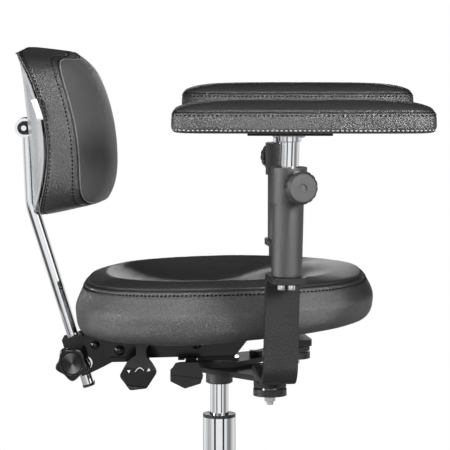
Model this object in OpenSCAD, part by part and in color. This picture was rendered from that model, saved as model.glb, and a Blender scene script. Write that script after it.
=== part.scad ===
// Swivel work chair with two swinging armrests, a tilting seat and a lumbar back.
// +X is the front, +Z is up, the column stands on the origin and z = 0 is the floor.
// The photographed side, the chair's right, is -Y.

/* [Base and castors] */
// Diameter of the circle through the five castor stems
castor_circle_d = 500; // [440:1:520]
// Height of the leg tips' undersides above the floor
leg_z = 60; // [58:1:70]
// Height of a leg at its tip
leg_tip_h = 22; // [18:1:30]
// Radius of the hub of the base
base_hub_r = 42; // [36:1:50]
// Height of the hub of the base
base_hub_h = 50; // [44:1:70]
// Diameter of a castor wheel
wheel_d = 50; // [44:1:54]
// Width of one castor wheel
wheel_w = 17; // [14:1:20]
// Gap between the two wheels of a castor
wheel_gap = 16; // [14:1:20]
// Distance of the castor axle behind its stem
castor_trail = 20; // [14:1:26]
// Radius of a castor stem
stem_r = 5.5; // [4:0.5:6]

/* [Gas lift] */
// Radius of the outer tube
lift_r = 25; // [24:0.5:27]
// Wall of the outer tube
lift_wall = 2; // [1.5:0.5:3]
// Height of the top of the outer tube
lift_top_z = 353; // [340:1:360]
// Height of the bushing flange on the tube
bushing_flange_h = 5; // [4:1:7]
// Radius of the chrome pressure tube
piston_r = 14; // [13:0.5:15]
// Radius of the piston rod
rod_r = 5; // [4:0.5:6]
// Lowest point of the pressure tube
piston_z = 136; // [130:1:150]

/* [Hub and link bars] */
// Height of the bottom of the lower link bar
link_z = 427; // [424:1:430]
// Thickness of a link bar
link_t = 8; // [6:0.5:9]
// Radius of a link bar round the hub
link_hub_r = 46; // [42:1:50]
// Radius of a link bar at its outer end
link_end_r = 24; // [20:1:26]
// Radius of the hub sleeve
sleeve_r = 18; // [17:0.5:20]
// Radius of the retaining collar under the links
hub_collar_r = 20.5; // [20:0.5:24]
// Height of the retaining collar
hub_collar_h = 20; // [16:1:24]
// Half width of the hub block
block_half_w = 40; // [36:1:42]

/* [Tilt mechanism] */
// Forward offset of the tilt bolt from the column
tilt_x = -34; // [-38:1:-30]
// Height of the tilt bolt
tilt_z = 472; // [470:1:474]
// Radius of the tilt bolt
tilt_r = 6; // [5:0.5:7]
// Inner half width of the channel
channel_half_w = 44; // [43:1:46]
// Sheet thickness of the channel
channel_t = 4; // [3:0.5:5]
// Top of the channel, under the seat board
channel_top_z = 491; // [490:1:493]
// Distance of the tilt lever shaft behind the column
tilt_lever_x = -115; // [-120:1:-110]
// Height of the tilt lever shaft
tilt_lever_z = 477; // [475:1:479]

/* [Seat] */
// Depth of the seat cushion, front to rear
seat_depth = 453; // [420:1:460]
// Width of the seat cushion
seat_width = 410; // [380:1:416]
// Distance of the cushion's rear edge behind the column
seat_rear = 218.5; // [216:0.5:222]
// Height of the cushion's lower edge at the rear
seat_z = 495; // [494:1:500]
// Rise of the lower edge towards the front
seat_rise = 26; // [15:1:30]
// Height of the upper seam above the lower edge at the rear
seat_seam_h = 72; // [60:1:84]
// Rise of the bolster above the seam
bolster_h = 9; // [4:1:14]
// Depth of the seat's hollow below the bolster
seat_dish = 22; // [10:1:28]

/* [Backrest] */
// Width of the backrest
back_w = 360; // [320:2:380]
// Height of the rear rim of the backrest
back_h = 247; // [230:1:260]
// Height of the backrest's middle above the floor
back_z = 793.5; // [785:0.5:800]
// Distance of the rear rim's side edge behind the column
back_x = 250; // [246:1:256]
// Thickness of the cushion at its sides
back_side_t = 47; // [40:1:54]
// How far the front seam bows forward at the middle
back_bow = 37; // [25:1:45]
// Rise of the front panel over its seam
back_pillow = 13; // [8:1:18]
// How far the top of the rim sweeps back
back_sweep = 43; // [30:1:55]

/* [Back post and clamp] */
// Lean of the post's lower stretch, in degrees
post_lean = 17.3; // [14:0.1:20]
// Lean of the post's upper stretch, in degrees
post_top_lean = 2.2; // [0:0.1:4]
// Width of the oval post
post_w = 35; // [30:1:38]
// Thickness of the oval post
post_t = 17; // [14:0.5:18]
// Height of the bend in the post
post_bend_z = 680; // [670:1:690]
// Distance of the bend behind the column
post_bend_x = 285.8; // [282:0.1:290]
// Height of the post's lower end
post_low_z = 405; // [395:1:410]
// Radius of the star knob, to its lobes
star_r = 27; // [22:0.5:28]
// Turn of the star knob's axis to the rear, in degrees
star_yaw = 10; // [0:1:20]

/* [Armrests] */
// Reach of a bracket, from its pivot to its tube
arm_reach = 117; // [112:1:124]
// Width of the bracket's flat bar
bar_w = 50; // [44:1:52]
// Thickness of the bracket's flat bar
bar_t = 10; // [8:1:12]
// Height of a bracket, from its foot's underside to its tab's top
bracket_h = 156; // [140:1:165]
// Radius of the arm tube
arm_tube_r = 22; // [20:0.5:23]
// Height of the arm tube under its collar
arm_tube_h = 104; // [90:1:115]
// Radius of the clamp collar
collar_r = 25.5; // [24.5:0.5:28]
// Height of the clamp collar
collar_h = 51; // [44:1:56]
// Radius of the fluted knob
knob_r = 23.7; // [21:0.1:26]
// Radius of the chrome arm post
arm_post_r = 13.5; // [12:0.5:14.5]
// Length of the arm post that shows above the collar
arm_post_show = 36; // [30:1:60]
// Radius of the friction disc under a pivot
disc_r = 24.6; // [22:0.1:27]
// Thickness of the friction disc
disc_h = 10; // [8:0.5:12]
// Length of an arm pad
pad_len = 373; // [340:1:390]
// Width of an arm pad
pad_w = 116; // [100:1:124]
// Height of an arm pad's side
pad_side_h = 31; // [26:1:36]
// Crown of an arm pad above its side
pad_crown = 12; // [6:1:16]
// Distance of an arm pad's middle outside the seat's edge
pad_out = 83; // [81:1:87]
// Forward offset of the pads' middle
pad_x = 122.7; // [120:0.1:126]
// Lean of the right arm to the front, in degrees
right_lean = 1.3; // [0:0.1:2]

/* [Hidden] */
$fn = 64;

// Shared clearances: a running fit, a gap between flat faces, a gap between soft or curved faces
fit = 0.05;
flat_gap = 0.2;
soft_gap = 0.3;
// One overrun serves all cuts
cut = 1;
BLACK = "#1c1c1e";
CHROME = "#c9ccd2";
LEATHER = "#2b2b2e";

function sgn_pow(v, p) = sign(v) * pow(abs(v), p);
function mixed(a, b, share) = a + (b - a) * share;
// A point of a superellipse outline
function oval(a, b, n, angle) = [a * sgn_pow(cos(angle), 2 / n), b * sgn_pow(sin(angle), 2 / n)];

// Base and castors
legs = 5;
leg_root_x = 34;
leg_root_z = 70;
leg_root_h = 42;
leg_root_r = 12;
leg_root_half = 12;
leg_tip_r = 14;
leg_top_r_share = 0.75;
stem_h = 16;
axle_r = 4;
hood_t = 4;
tread_r = wheel_d / 2;
lift_z = leg_root_z + 8;
lift_floor = 6;
// The lift's lower end is a slight taper, wedged in the base
lift_low_r = lift_r - 0.8;
lift_taper = 0.012;
taper_h = leg_root_z + base_hub_h + flat_gap - lift_z;

// Gas lift
bearing_h = 5;
bearing_r = 14;
rod_flange_h = 3;
rod_head_h = 12;
rod_head_z = 302;
gland_h = 10;
bushing_h = 62;
piston_wall = 1.8;
piston_cavity_top = 420;
piston_top_z = 460;

// Hub: both link rings, a washer and the hub block stand on the collar
upper_link_z = link_z + link_t + flat_gap;
washer_z = upper_link_z + link_t + flat_gap;
washer_h = 2.6;
washer_r = 30;
block_z = washer_z + washer_h;
sleeve_z = link_z - flat_gap - hub_collar_h - 1.5;
block_rear = -62;
block_front = 24;
lever_slot_x = -42;
lever_slot_w = 20;
lever_slot_y = 24;
lever_slot_top = block_z + 11;
lever_pin_y = 36;
lever_pin_z = block_z + 6;
lever_pin_r = 3;

// Link bars: places of the knees and pivots, seen from above
right_knee = [77, -110];
right_pivot_in = 35;
right_pivot = [76.5, right_pivot_in - seat_width / 2];
left_knee = [66, 56];
left_pivot_in = 62;
left_pivot = [117, seat_width / 2 - left_pivot_in];
pad_y = seat_width / 2 + pad_out;
right_turn = -80.5;
left_turn = 99.9;
pivot_bolt_r = 5;
link_trim = 31.5;
link_trim_turn = 6.5;
wave_h = 2.4;
spacer_r = link_end_r;
right_foot_z = 449;
left_foot_z = upper_link_z + link_t + flat_gap;
nut_h = 9;
nut_r = 8;
bend_r = 20;
tab_half = 25;
plate_in = tab_half + bar_t;
collar_lap = 14;
right_knob_turn = 13;
left_knob_turn = 3;
knob_reach = 34;
knob_h = 18;
knob_stud_r = 4;
knob_flutes = 15;
flute_r = 2.4;
socket_r = 15.5;
socket_h = 10;
plate_h = 4;
plate_len = 120;
plate_w = 60;
screw_r = 3;
screw_head_r = 5.2;
screw_head_h = 5;
screw_pitch = 14.5;

// Tilt mechanism and rear bracket
channel_rear = -175;
cheek_low_rear = 448.5;
cheek_low_front = 454.5;
lip_w = 5;
lip_h = 3;
dome_r = 8;
dome_h = 4.5;
bracket_half_w = 28;
bracket_t = 5;
clamp_half_w = 27;
clamp_wall = 8;
clamp_pin = [-202, 440.7];
clamp_pin_r = 5;
channel_bolt = [-150, 462];
bracket_bolt = [-188, 468];
bolt_r = 4;
clamp_low = -17;
clamp_high = 40;
star_h = 16;
star_reach = 43;
star_lobe = 2.6;
star_stud_r = 4;
inset_r = 15.3;
inset_h = 1.5;

// Backrest
hinge_x = -294.7;
hinge_z = 796.5;
hinge_r = 14.5;
hinge_half_w = 15;
hinge_pin_r = 4;
ear_in = 16;
post_bend_r = 90;
post_bend_steps = 6;
post_side_points = 13;
ear_t = 4;
ear_r = 10;
shell_channel_half = 34;
shell_channel_x = -265;
shell_channel_top = 838;
rear_mid_x = -262;
shell_mid_x = -286;
shell_slope_share = 0.09;
// Steps along half a quadrant of a superellipse, as shares of its corner's place
OUTLINE_STEPS = [0, 0.25, 0.5, 0.74, 0.9];
function outline_angles(n) =
    let (corner = pow(0.5, 1 / n), low = [for (v = OUTLINE_STEPS) asin(pow(v * corner, n / 2))], m = len(low))
    [for (q = [0:3]) for (k = [0:2 * m - 1]) 90 * q + (k < m ? low[k] : k == m ? 45 : 90 - low[2 * m - k])];

// A closed solid through rings of points, closed by a point at each end
module lofted(rings, first, last) {
    n = len(rings[0]);
    m = len(rings);
    points = concat([first], [for (r = rings) for (p = r) p], [last]);
    end = m * n + 1;
    faces = concat(
        [for (j = [0:n - 1]) [0, 1 + j, 1 + (j + 1) % n]],
        [for (i = [0:m - 2]) for (j = [0:n - 1])
            [1 + i * n + j, 1 + (i + 1) * n + j, 1 + i * n + (j + 1) % n]],
        [for (i = [0:m - 2]) for (j = [0:n - 1])
            [1 + i * n + (j + 1) % n, 1 + (i + 1) * n + j, 1 + (i + 1) * n + (j + 1) % n]],
        [for (j = [0:n - 1]) [end, 1 + (m - 1) * n + (j + 1) % n, 1 + (m - 1) * n + j]]
    );
    polyhedron(points, faces, convexity = 6);
}

module ring(r_out, r_in, h) {
    difference() {
        cylinder(r = r_out, h = h);
        translate([0, 0, -cut]) cylinder(r = r_in, h = h + 2 * cut);
    }
}

// A bar with round ends between two points, seen from above
module round_bar(p, q, r) {
    d = q - p;
    translate(p) circle(r = r);
    translate(q) circle(r = r);
    translate(p) rotate(atan2(d[1], d[0])) translate([0, -r]) square([norm(d), 2 * r]);
}

// A cylinder along Y, centred on a place in the XZ plane
module cross_pin(place, r, half) {
    translate([place[0], 0, place[1]]) rotate([90, 0, 0]) cylinder(r = r, h = 2 * half, center = true);
}

// A flat shape drawn in X and Z, as a slab from y_low to y_high
module slab(y_low, y_high) {
    translate([0, y_high, 0]) rotate([90, 0, 0]) linear_extrude(y_high - y_low) children();
}

// A shallow dome for a bolt head, standing along +Z on z = 0
module dome(r, h) {
    big = (r * r + h * h) / (2 * h);
    intersection() {
        translate([0, 0, h - big]) sphere(r = big, $fn = 48);
        cylinder(r = r, h = h);
    }
}

// BASE
module star_base() {
    color("#b9bcc2") difference() {
        union() {
            translate([0, 0, leg_root_z]) cylinder(r = base_hub_r, h = base_hub_h);
            for (i = [0:legs - 1]) rotate(i * 360 / legs) hull() {
                translate([castor_circle_d / 2, 0, leg_z])
                    cylinder(r1 = leg_tip_r, r2 = leg_tip_r * leg_top_r_share, h = leg_tip_h, $fn = 32);
                for (s = [-1, 1]) translate([leg_root_x, s * leg_root_half, leg_root_z])
                    cylinder(r1 = leg_root_r, r2 = leg_root_r * leg_top_r_share, h = leg_root_h, $fn = 24);
            }
        }
        translate([0, 0, lift_z])
            cylinder(r1 = lift_low_r + fit, r2 = lift_low_r + fit + lift_taper * base_hub_h, h = base_hub_h);
        translate([0, 0, leg_root_z - cut]) cylinder(r = bearing_r, h = base_hub_h);
        for (i = [0:legs - 1]) rotate(i * 360 / legs)
            translate([castor_circle_d / 2, 0, leg_z - cut]) cylinder(r = stem_r + fit, h = stem_h + cut);
    }
}

// A castor points inwards from its stem: hood, stem and the axle's boss
module castor_place(i) {
    rotate(i * 360 / legs) translate([castor_circle_d / 2, 0, 0]) children();
}
module castor_frame(i) {
    boss_r = axle_r + 5;
    color(BLACK) castor_place(i) difference() {
        union() {
            translate([0, 0, tread_r]) cylinder(r = stem_r, h = leg_z - tread_r + stem_h - fit);
            translate([0, 0, tread_r + 6]) cylinder(r = stem_r + 2.5, h = leg_z - tread_r - 6 - flat_gap);
            hood_profile();
            cross_boss(boss_r);
        }
        translate([-castor_trail, 0, tread_r]) rotate([90, 0, 0])
            cylinder(r = axle_r + fit, h = wheel_gap + 2 * cut, center = true);
    }
}
module cross_boss(r) {
    translate([-castor_trail, 0, tread_r]) rotate([90, 0, 0])
        cylinder(r = r, h = wheel_gap - 2 * flat_gap, center = true);
}
// The hood between the wheels: a disc sector wider than the tread
module hood_profile() {
    hood_half = wheel_gap / 2 - flat_gap;
    slab(-hood_half, hood_half) difference() {
        translate([-castor_trail, tread_r]) circle(r = tread_r + hood_t);
        translate([-castor_trail - 2 * wheel_d, -2 * wheel_d + tread_r]) square([4 * wheel_d, 2 * wheel_d]);
    }
}
module castor_wheels(i) {
    rim_r = tread_r - 4;
    color("#3a3a3d") castor_place(i) translate([-castor_trail, 0, tread_r]) rotate([90, 0, 0]) {
        cylinder(r = axle_r, h = wheel_gap, center = true);
        for (s = [-1, 1]) scale([1, 1, s]) translate([0, 0, wheel_gap / 2]) {
            rotate_extrude() polygon([
                [0, 0], [tread_r - 1.5, 0], [tread_r, 1.5], [tread_r, wheel_w - 4],
                [rim_r, wheel_w], [0, wheel_w]
            ]);
        }
    }
}

// GAS LIFT
module outer_tube() {
    color(CHROME) translate([0, 0, lift_z]) {
        difference() {
            union() {
                cylinder(r1 = lift_low_r, r2 = lift_low_r + lift_taper * taper_h, h = taper_h);
                translate([0, 0, taper_h]) cylinder(r = lift_r, h = lift_top_z - lift_z - taper_h);
            }
            translate([0, 0, -cut]) cylinder(r = lift_r - lift_wall, h = lift_top_z - lift_z + 2 * cut);
        }
        ring(lift_r - lift_wall + fit, rod_r + fit, lift_floor);
    }
}
module tube_bushing() {
    color(BLACK) {
        translate([0, 0, lift_top_z]) ring(lift_r, piston_r + fit, bushing_flange_h);
        translate([0, 0, lift_top_z - bushing_h])
            ring(lift_r - lift_wall - fit, piston_r + fit, bushing_h);
    }
}
module thrust_bearing() {
    color("#8f9297") translate([0, 0, lift_z + lift_floor]) ring(bearing_r, rod_r + fit, bearing_h);
}
module piston_rod() {
    flange_z = lift_z + lift_floor + bearing_h + flat_gap;
    color("#a9acb2") {
        translate([0, 0, lift_z + cut]) cylinder(r = rod_r, h = rod_head_z - lift_z);
        translate([0, 0, flange_z]) cylinder(r = bearing_r - 2, h = rod_flange_h);
        translate([0, 0, rod_head_z]) cylinder(r = piston_r - piston_wall - soft_gap, h = rod_head_h);
    }
}
module gas_tube() {
    color(CHROME) difference() {
        translate([0, 0, piston_z]) cylinder(r = piston_r, h = piston_top_z - piston_z);
        translate([0, 0, piston_z - cut]) cylinder(r = rod_r + fit, h = gland_h + 2 * cut);
        translate([0, 0, piston_z + gland_h])
            cylinder(r = piston_r - piston_wall, h = piston_cavity_top - piston_z - gland_h);
    }
}

// HUB
module hub_sleeve() {
    top = tilt_z + 11;
    color(BLACK) difference() {
        union() {
            translate([0, 0, sleeve_z]) cylinder(r = sleeve_r, h = block_z - sleeve_z + cut);
            slab(-block_half_w, block_half_w) polygon([
                [block_rear, block_z], [block_front, block_z], [block_front, tilt_z + 4],
                [tilt_x + 2 * tilt_r, top], [block_rear, top]
            ]);
        }
        translate([0, 0, sleeve_z - cut]) cylinder(r = piston_r + fit, h = piston_top_z - sleeve_z + 2 * cut);
        cross_pin([tilt_x, tilt_z], tilt_r + fit, block_half_w + cut);
        translate([lever_slot_x - lever_slot_w / 2, -block_half_w - cut, block_z - cut])
            cube([lever_slot_w, block_half_w - lever_slot_y + cut, lever_slot_top - block_z + cut]);
    }
    color(BLACK) translate([lever_slot_x, -lever_pin_y, lever_pin_z]) rotate([0, 90, 0])
        cylinder(r = lever_pin_r, h = lever_slot_w + 2 * cut, center = true);
}
module hub_collar() {
    color(BLACK) translate([0, 0, link_z - flat_gap - hub_collar_h])
        ring(hub_collar_r, sleeve_r + fit, hub_collar_h);
}
module hub_washer() {
    color(CHROME) translate([0, 0, washer_z]) ring(washer_r, sleeve_r + fit, washer_h - flat_gap);
}
// The height lever rocks on its pin in the block's slot and passes under the channel's cheek
module height_lever() {
    lever_t = 6;
    lever_half = lever_slot_w / 2 - 1.5;
    low = block_z - 4;
    paddle_y = -98;
    paddle_t = 8;
    color(BLACK) {
        difference() {
            translate([lever_slot_x - lever_half, 0, 0]) rotate([90, 0, 90]) linear_extrude(2 * lever_half)
                polygon([
                    [-lever_slot_y - 2, lever_pin_z - 4], [-lever_slot_y - 2, lever_pin_z + 4],
                    [-lever_pin_y - 5, lever_pin_z + 4], [-block_half_w - 6, low + lever_t - 2],
                    [paddle_y + paddle_t, low + lever_t - 2], [paddle_y + paddle_t, low - 2],
                    [-block_half_w - 4, low - 2], [-lever_pin_y + 2, lever_pin_z - 4]
                ]);
            translate([lever_slot_x, -lever_pin_y, lever_pin_z]) rotate([0, 90, 0])
                cylinder(r = lever_pin_r + fit, h = 2 * lever_half + 2 * cut, center = true);
        }
        slab(paddle_y, paddle_y + paddle_t) offset(r = 2) polygon([
            [lever_slot_x - 22, low + 1], [lever_slot_x - 28, low - 3], [lever_slot_x - 28, low - 18],
            [lever_slot_x - 8, low - 28], [lever_slot_x + 14, low - 21], [lever_slot_x + 17, low - 11],
            [lever_slot_x + 13, low + 1]
        ]);
    }
}

// TILT MECHANISM
module cheek_outline() {
    polygon([
        [channel_rear, channel_top_z], [channel_rear, cheek_low_rear],
        [tilt_x, mixed(cheek_low_rear, cheek_low_front, 0.75)],
        [25, cheek_low_front], [48, channel_top_z - 7], [53, channel_top_z]
    ]);
}
module tilt_frame() {
    out = channel_half_w + channel_t;
    color(BLACK) difference() {
        union() {
            for (s = [-1, 1]) slab(s > 0 ? channel_half_w : -out, s > 0 ? out : -channel_half_w)
                cheek_outline();
            slab(-channel_half_w, channel_half_w) translate([channel_rear, channel_top_z - channel_t])
                square([50 - channel_rear, channel_t]);
            for (s = [-1, 1]) slab(s > 0 ? out : -out - lip_w, s > 0 ? out + lip_w : -out)
                translate([channel_rear + 10, cheek_low_rear + 0.5]) square([60, lip_h]);
        }
        cross_pin([tilt_x, tilt_z], tilt_r + fit, out + cut);
        cross_pin([tilt_lever_x, tilt_lever_z], 8 + fit, out + cut);
        cross_pin(channel_bolt, bolt_r + fit, out + cut);
    }
}
// The tilt bolt, the through bolt and the bracket bolt, each with a domed head on both sides
module headed_bolt(place, r, half, head_r) {
    cross_pin(place, r, half);
    for (s = [-1, 1]) translate([place[0], s * half, place[1]]) rotate([-90 * s, 0, 0]) dome(head_r, dome_h);
}
module frame_bolts() {
    out = channel_half_w + channel_t;
    color("#2a2a2c") {
        headed_bolt([tilt_x, tilt_z], tilt_r, out, dome_r);
        headed_bolt(channel_bolt, bolt_r, out, dome_r);
        headed_bolt(bracket_bolt, bolt_r, bracket_half_w + bracket_t, dome_r - 1);
    }
}
module tilt_lever() {
    paddle_y = -122;
    paddle_t = 10;
    stem_half = 9;
    color(BLACK) {
        translate([tilt_lever_x, paddle_y + paddle_t, tilt_lever_z]) rotate([-90, 0, 0])
            cylinder(r = 8, h = -paddle_y - paddle_t - channel_half_w + 6);
        translate([tilt_lever_x, -channel_half_w - channel_t - 9, tilt_lever_z]) rotate([-90, 0, 0])
            cylinder(r = 12, h = 9 - flat_gap);
        slab(paddle_y, paddle_y + paddle_t) offset(r = 2) polygon([
            [tilt_lever_x - stem_half, tilt_lever_z + 6], [tilt_lever_x - stem_half, tilt_lever_z - 18],
            [tilt_lever_x - 30, tilt_lever_z - 43], [tilt_lever_x - 15, tilt_lever_z - 65],
            [tilt_lever_x + 8, tilt_lever_z - 61], [tilt_lever_x + 24, tilt_lever_z - 38],
            [tilt_lever_x + stem_half - 1, tilt_lever_z - 18], [tilt_lever_x + stem_half - 1, tilt_lever_z + 6]
        ]);
    }
}

// SEAT
seat_a = seat_depth / 2;
seat_b = seat_width / 2;
seat_x = seat_a - seat_rear;
seat_power = 2.7;
rise_from_x = -45;
board_t = 9;
board_inset_share = 0.76;
seat_recess = 5.8;
function seat_low(x) = seat_z + seat_rise * max(0, x - rise_from_x) / (seat_a + seat_x - rise_from_x);
function seat_seam(x) = seat_z + seat_seam_h + 0.026 * (x - seat_x + seat_a);
// Each ring: share of the outline, share of the way from the lower edge to the seam, rise in mm
seat_rings = [
    [0.80, 0, seat_recess], [0.82, 0, 0.5], [0.93, 0, 0], [0.975, 0.10, 0], [1.0, 0.30, 0],
    [0.992, 0.58, 0], [0.968, 0.84, 0], [0.938, 0.97, 0], [0.925, 1.0, 0], [0.915, 1.0, 0.5 * bolster_h],
    [0.86, 1.0, bolster_h], [0.76, 1.0, 0.55 * bolster_h], [0.55, 1.0, bolster_h - 0.72 * seat_dish],
    [0.30, 1.0, bolster_h - 0.95 * seat_dish]
];
function seat_point(ring_row, angle) =
    let (p = oval(seat_a, seat_b, seat_power, angle) * ring_row[0], x = p[0] + seat_x)
    [x, p[1], mixed(seat_low(x), seat_seam(x), ring_row[1]) + ring_row[2]];
module seat_cushion() {
    rings = [for (r = seat_rings) [for (a = outline_angles(seat_power)) seat_point(r, a)]];
    color(LEATHER) lofted(rings, [seat_x, 0, seat_low(seat_x) + seat_recess],
        [seat_x, 0, seat_seam(seat_x) + bolster_h - seat_dish]);
}
// The board follows the cushion's underside with a steady gap
module seat_board() {
    rear = seat_x - seat_a * board_inset_share;
    front = seat_x + seat_a * board_inset_share;
    top = seat_recess - soft_gap;
    color("#8a6a45") intersection() {
        slab(-seat_b, seat_b) polygon([
            [rear, seat_low(rear) + top - board_t], [rise_from_x, seat_z + top - board_t],
            [front, seat_low(front) + top - board_t], [front, seat_low(front) + top],
            [rise_from_x, seat_z + top], [rear, seat_low(rear) + top]
        ]);
        translate([seat_x, 0, 0]) linear_extrude(2 * seat_z) polygon([
            for (a = outline_angles(seat_power)) oval(seat_a, seat_b, seat_power, a) * board_inset_share
        ]);
    }
}

// REAR BRACKET AND CLAMP
module back_bracket() {
    out = bracket_half_w + bracket_t;
    px = clamp_pin[0];
    pz = clamp_pin[1];
    top = channel_top_z - channel_t;
    color(BLACK) difference() {
        union() {
            for (s = [-1, 1]) slab(s > 0 ? bracket_half_w : -out, s > 0 ? out : -bracket_half_w) polygon([
                [px - 2, top], [px - 8, pz + 12], [px - 9, pz - 10], [px - 6, pz - 21], [px + 2, pz - 18],
                [px + 23, pz - 8], [px + 40, pz + 1], [px + 66, pz + 1.5], [px + 76, pz + 7], [px + 82, top]
            ]);
            slab(-bracket_half_w, bracket_half_w)
                translate([px - 2, top - channel_t]) square([84, channel_t]);
        }
        cross_pin(clamp_pin, clamp_pin_r + fit, out + cut);
        cross_pin(channel_bolt, bolt_r + fit, out + cut);
        cross_pin(bracket_bolt, bolt_r + fit, out + cut);
    }
}
// A frame along the post's lower stretch, with its origin level with the clamp's hinge bolts
lean_x_at = function (z) -post_bend_x + (post_bend_z - z) * tan(post_lean);
module along_post(z) {
    translate([lean_x_at(z), 0, z]) rotate([0, -post_lean, 0]) children();
}
module stadium(w, t) {
    square([t, w - t], center = true);
    for (s = [-1, 1]) translate([0, s * (w - t) / 2]) circle(r = t / 2);
}
module back_clamp() {
    half_x = post_t / 2 + clamp_wall;
    color(BLACK) difference() {
        along_post(clamp_pin[1]) translate([-half_x, -clamp_half_w, clamp_low])
            cube([2 * half_x, 2 * clamp_half_w, clamp_high - clamp_low]);
        along_post(clamp_pin[1]) translate([0, 0, clamp_low - cut])
            linear_extrude(clamp_high - clamp_low + 2 * cut)
            stadium(post_w + 2 * soft_gap, post_t + 2 * soft_gap);
        for (s = [-1, 1])
            translate([clamp_pin[0], s * (post_w / 2 + 3), clamp_pin[1]]) rotate([-90 * s, 0, 0])
            cylinder(r = clamp_pin_r + fit, h = clamp_half_w);
        star_frame() translate([0, 0, post_w / 2]) cylinder(r = star_stud_r + fit, h = clamp_half_w);
    }
}
module clamp_bolts() {
    out = bracket_half_w + bracket_t;
    color(CHROME) for (s = [-1, 1]) translate([clamp_pin[0], s * (post_w / 2 + 4), clamp_pin[1]])
        rotate([-90 * s, 0, 0]) {
            cylinder(r = clamp_pin_r, h = out - post_w / 2 - 4);
            translate([0, 0, out - post_w / 2 - 4]) cylinder(r = 2 * clamp_pin_r, h = 1.5);
            translate([0, 0, out - post_w / 2 - 2.5]) dome(dome_r - 1, dome_h - 1);
        }
}
// The star knob's axis starts on the post's middle and points to the right and a little back
module star_frame() {
    translate([lean_x_at(clamp_pin[1] + 2), 0, clamp_pin[1] + 2]) rotate([0, 0, -star_yaw]) rotate([90, 0, 0])
        children();
}
function star_outline(r) = [for (a = [0:6:354])
    (r - star_lobe + star_lobe * cos(legs * (a + 90))) * [cos(a), sin(a)]];
module star_knob() {
    stud_from = post_w / 2 + 2;
    color(BLACK) star_frame() difference() {
        union() {
            translate([0, 0, stud_from]) cylinder(r = star_stud_r, h = star_reach - stud_from + cut);
            translate([0, 0, star_reach]) linear_extrude(star_h - 2) polygon(star_outline(star_r));
            translate([0, 0, star_reach + star_h - 2]) linear_extrude(2) polygon(star_outline(star_r - 1.5));
        }
        translate([0, 0, star_reach + star_h - inset_h - fit]) cylinder(r = inset_r + fit, h = 2 * inset_h);
    }
}
module knob_inset() {
    color("#6d6f73") star_frame() translate([0, 0, star_reach + star_h - inset_h]) difference() {
        cylinder(r = inset_r, h = inset_h);
        translate([0, 0, inset_h / 2]) cylinder(r1 = 1, r2 = inset_r - 1, h = inset_h / 2 + fit);
    }
}

// BACK POST
function stadium_point(w, t, k, n) =
    let (a = 180 * k / (n - 1))
    [t / 2 * cos(a), (w - t) / 2 + t / 2 * sin(a)];
function stadium_ring(w, t, n) = concat(
    [for (k = [0:n - 1]) stadium_point(w, t, k, n)],
    [for (k = [0:n - 1]) let (p = stadium_point(w, t, k, n)) [-p[0], -p[1]]]
);
// One ring of the post round its axis, square to its lean
function post_ring(x, z, lean) = [for (p = stadium_ring(post_w, post_t, post_side_points))
    [x + p[0] * cos(lean), p[1], z + p[0] * sin(lean)]];
module back_post() {
    turn = post_lean - post_top_lean;
    lap = post_bend_r * tan(turn / 2);
    low_len = (post_bend_z - post_low_z) / cos(post_lean) - lap;
    high_len = (hinge_z - post_bend_z) / cos(post_top_lean) - lap;
    low = [-post_bend_x + lap * sin(post_lean), post_bend_z - lap * cos(post_lean)];
    high = [-post_bend_x - lap * sin(post_top_lean), post_bend_z + lap * cos(post_top_lean)];
    foot = low + low_len * [sin(post_lean), -cos(post_lean)];
    head = high + high_len * [-sin(post_top_lean), cos(post_top_lean)];
    middle = low + post_bend_r * [cos(post_lean), sin(post_lean)];
    rings = concat(
        [post_ring(foot[0], foot[1], post_lean)],
        [for (k = [0:post_bend_steps]) let (a = post_lean - turn * k / post_bend_steps)
            post_ring(middle[0] - post_bend_r * cos(a), middle[1] - post_bend_r * sin(a), a)],
        [post_ring(head[0], head[1], post_top_lean)]
    );
    color(CHROME) difference() {
        lofted(rings, [foot[0], 0, foot[1]], [head[0], 0, head[1]]);
        cross_pin([hinge_x, hinge_z], hinge_r + fit, post_w);
        translate([hinge_x - 2 * hinge_r, -post_w, hinge_z - 2]) cube([4 * hinge_r, 2 * post_w, hinge_r]);
    }
}
module post_cap() {
    color(BLACK) along_post(post_low_z) translate([0, 0, -4 - fit]) linear_extrude(4)
        stadium(post_w + 1, post_t + 1);
}
module back_hinge() {
    color(CHROME) {
        cross_pin([hinge_x, hinge_z], hinge_r, hinge_half_w);
        cross_pin([hinge_x, hinge_z], hinge_pin_r, ear_in + ear_t + 3);
    }
}
module shell_bracket() {
    plate_x = shell_channel_x - soft_gap;
    color("#3c3d40") difference() {
        union() {
            translate([plate_x - 3, -ear_in - ear_t, hinge_z - 26]) cube([3, 2 * (ear_in + ear_t), 52]);
            for (s = [-1, 1]) slab(s > 0 ? ear_in : -ear_in - ear_t, s > 0 ? ear_in + ear_t : -ear_in) {
                translate([hinge_x, hinge_z]) circle(r = ear_r);
                translate([hinge_x, hinge_z - ear_r]) square([plate_x - 1 - hinge_x, 2 * ear_r]);
            }
        }
        cross_pin([hinge_x, hinge_z], hinge_pin_r + fit, ear_in + ear_t + cut);
    }
}

// BACKREST
back_a = back_w / 2;
back_b = back_h / 2;
back_power = 5;
shell_share = 0.955;
shell_gap = 1.6;
shell_edge_t = 1.4;
seam_b_share = 0.86;
seam_lift = 9;
sweep_from = -22;
sweep_mid = 38;
// Rear edge at the sides: a lumbar curve that sweeps back towards the top
function rim_x(s) = -back_x - back_sweep * pow((s - sweep_from) / (back_b - sweep_from), 2);
function mid_share(t) = 1 - pow(t / back_a, 2);
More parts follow.
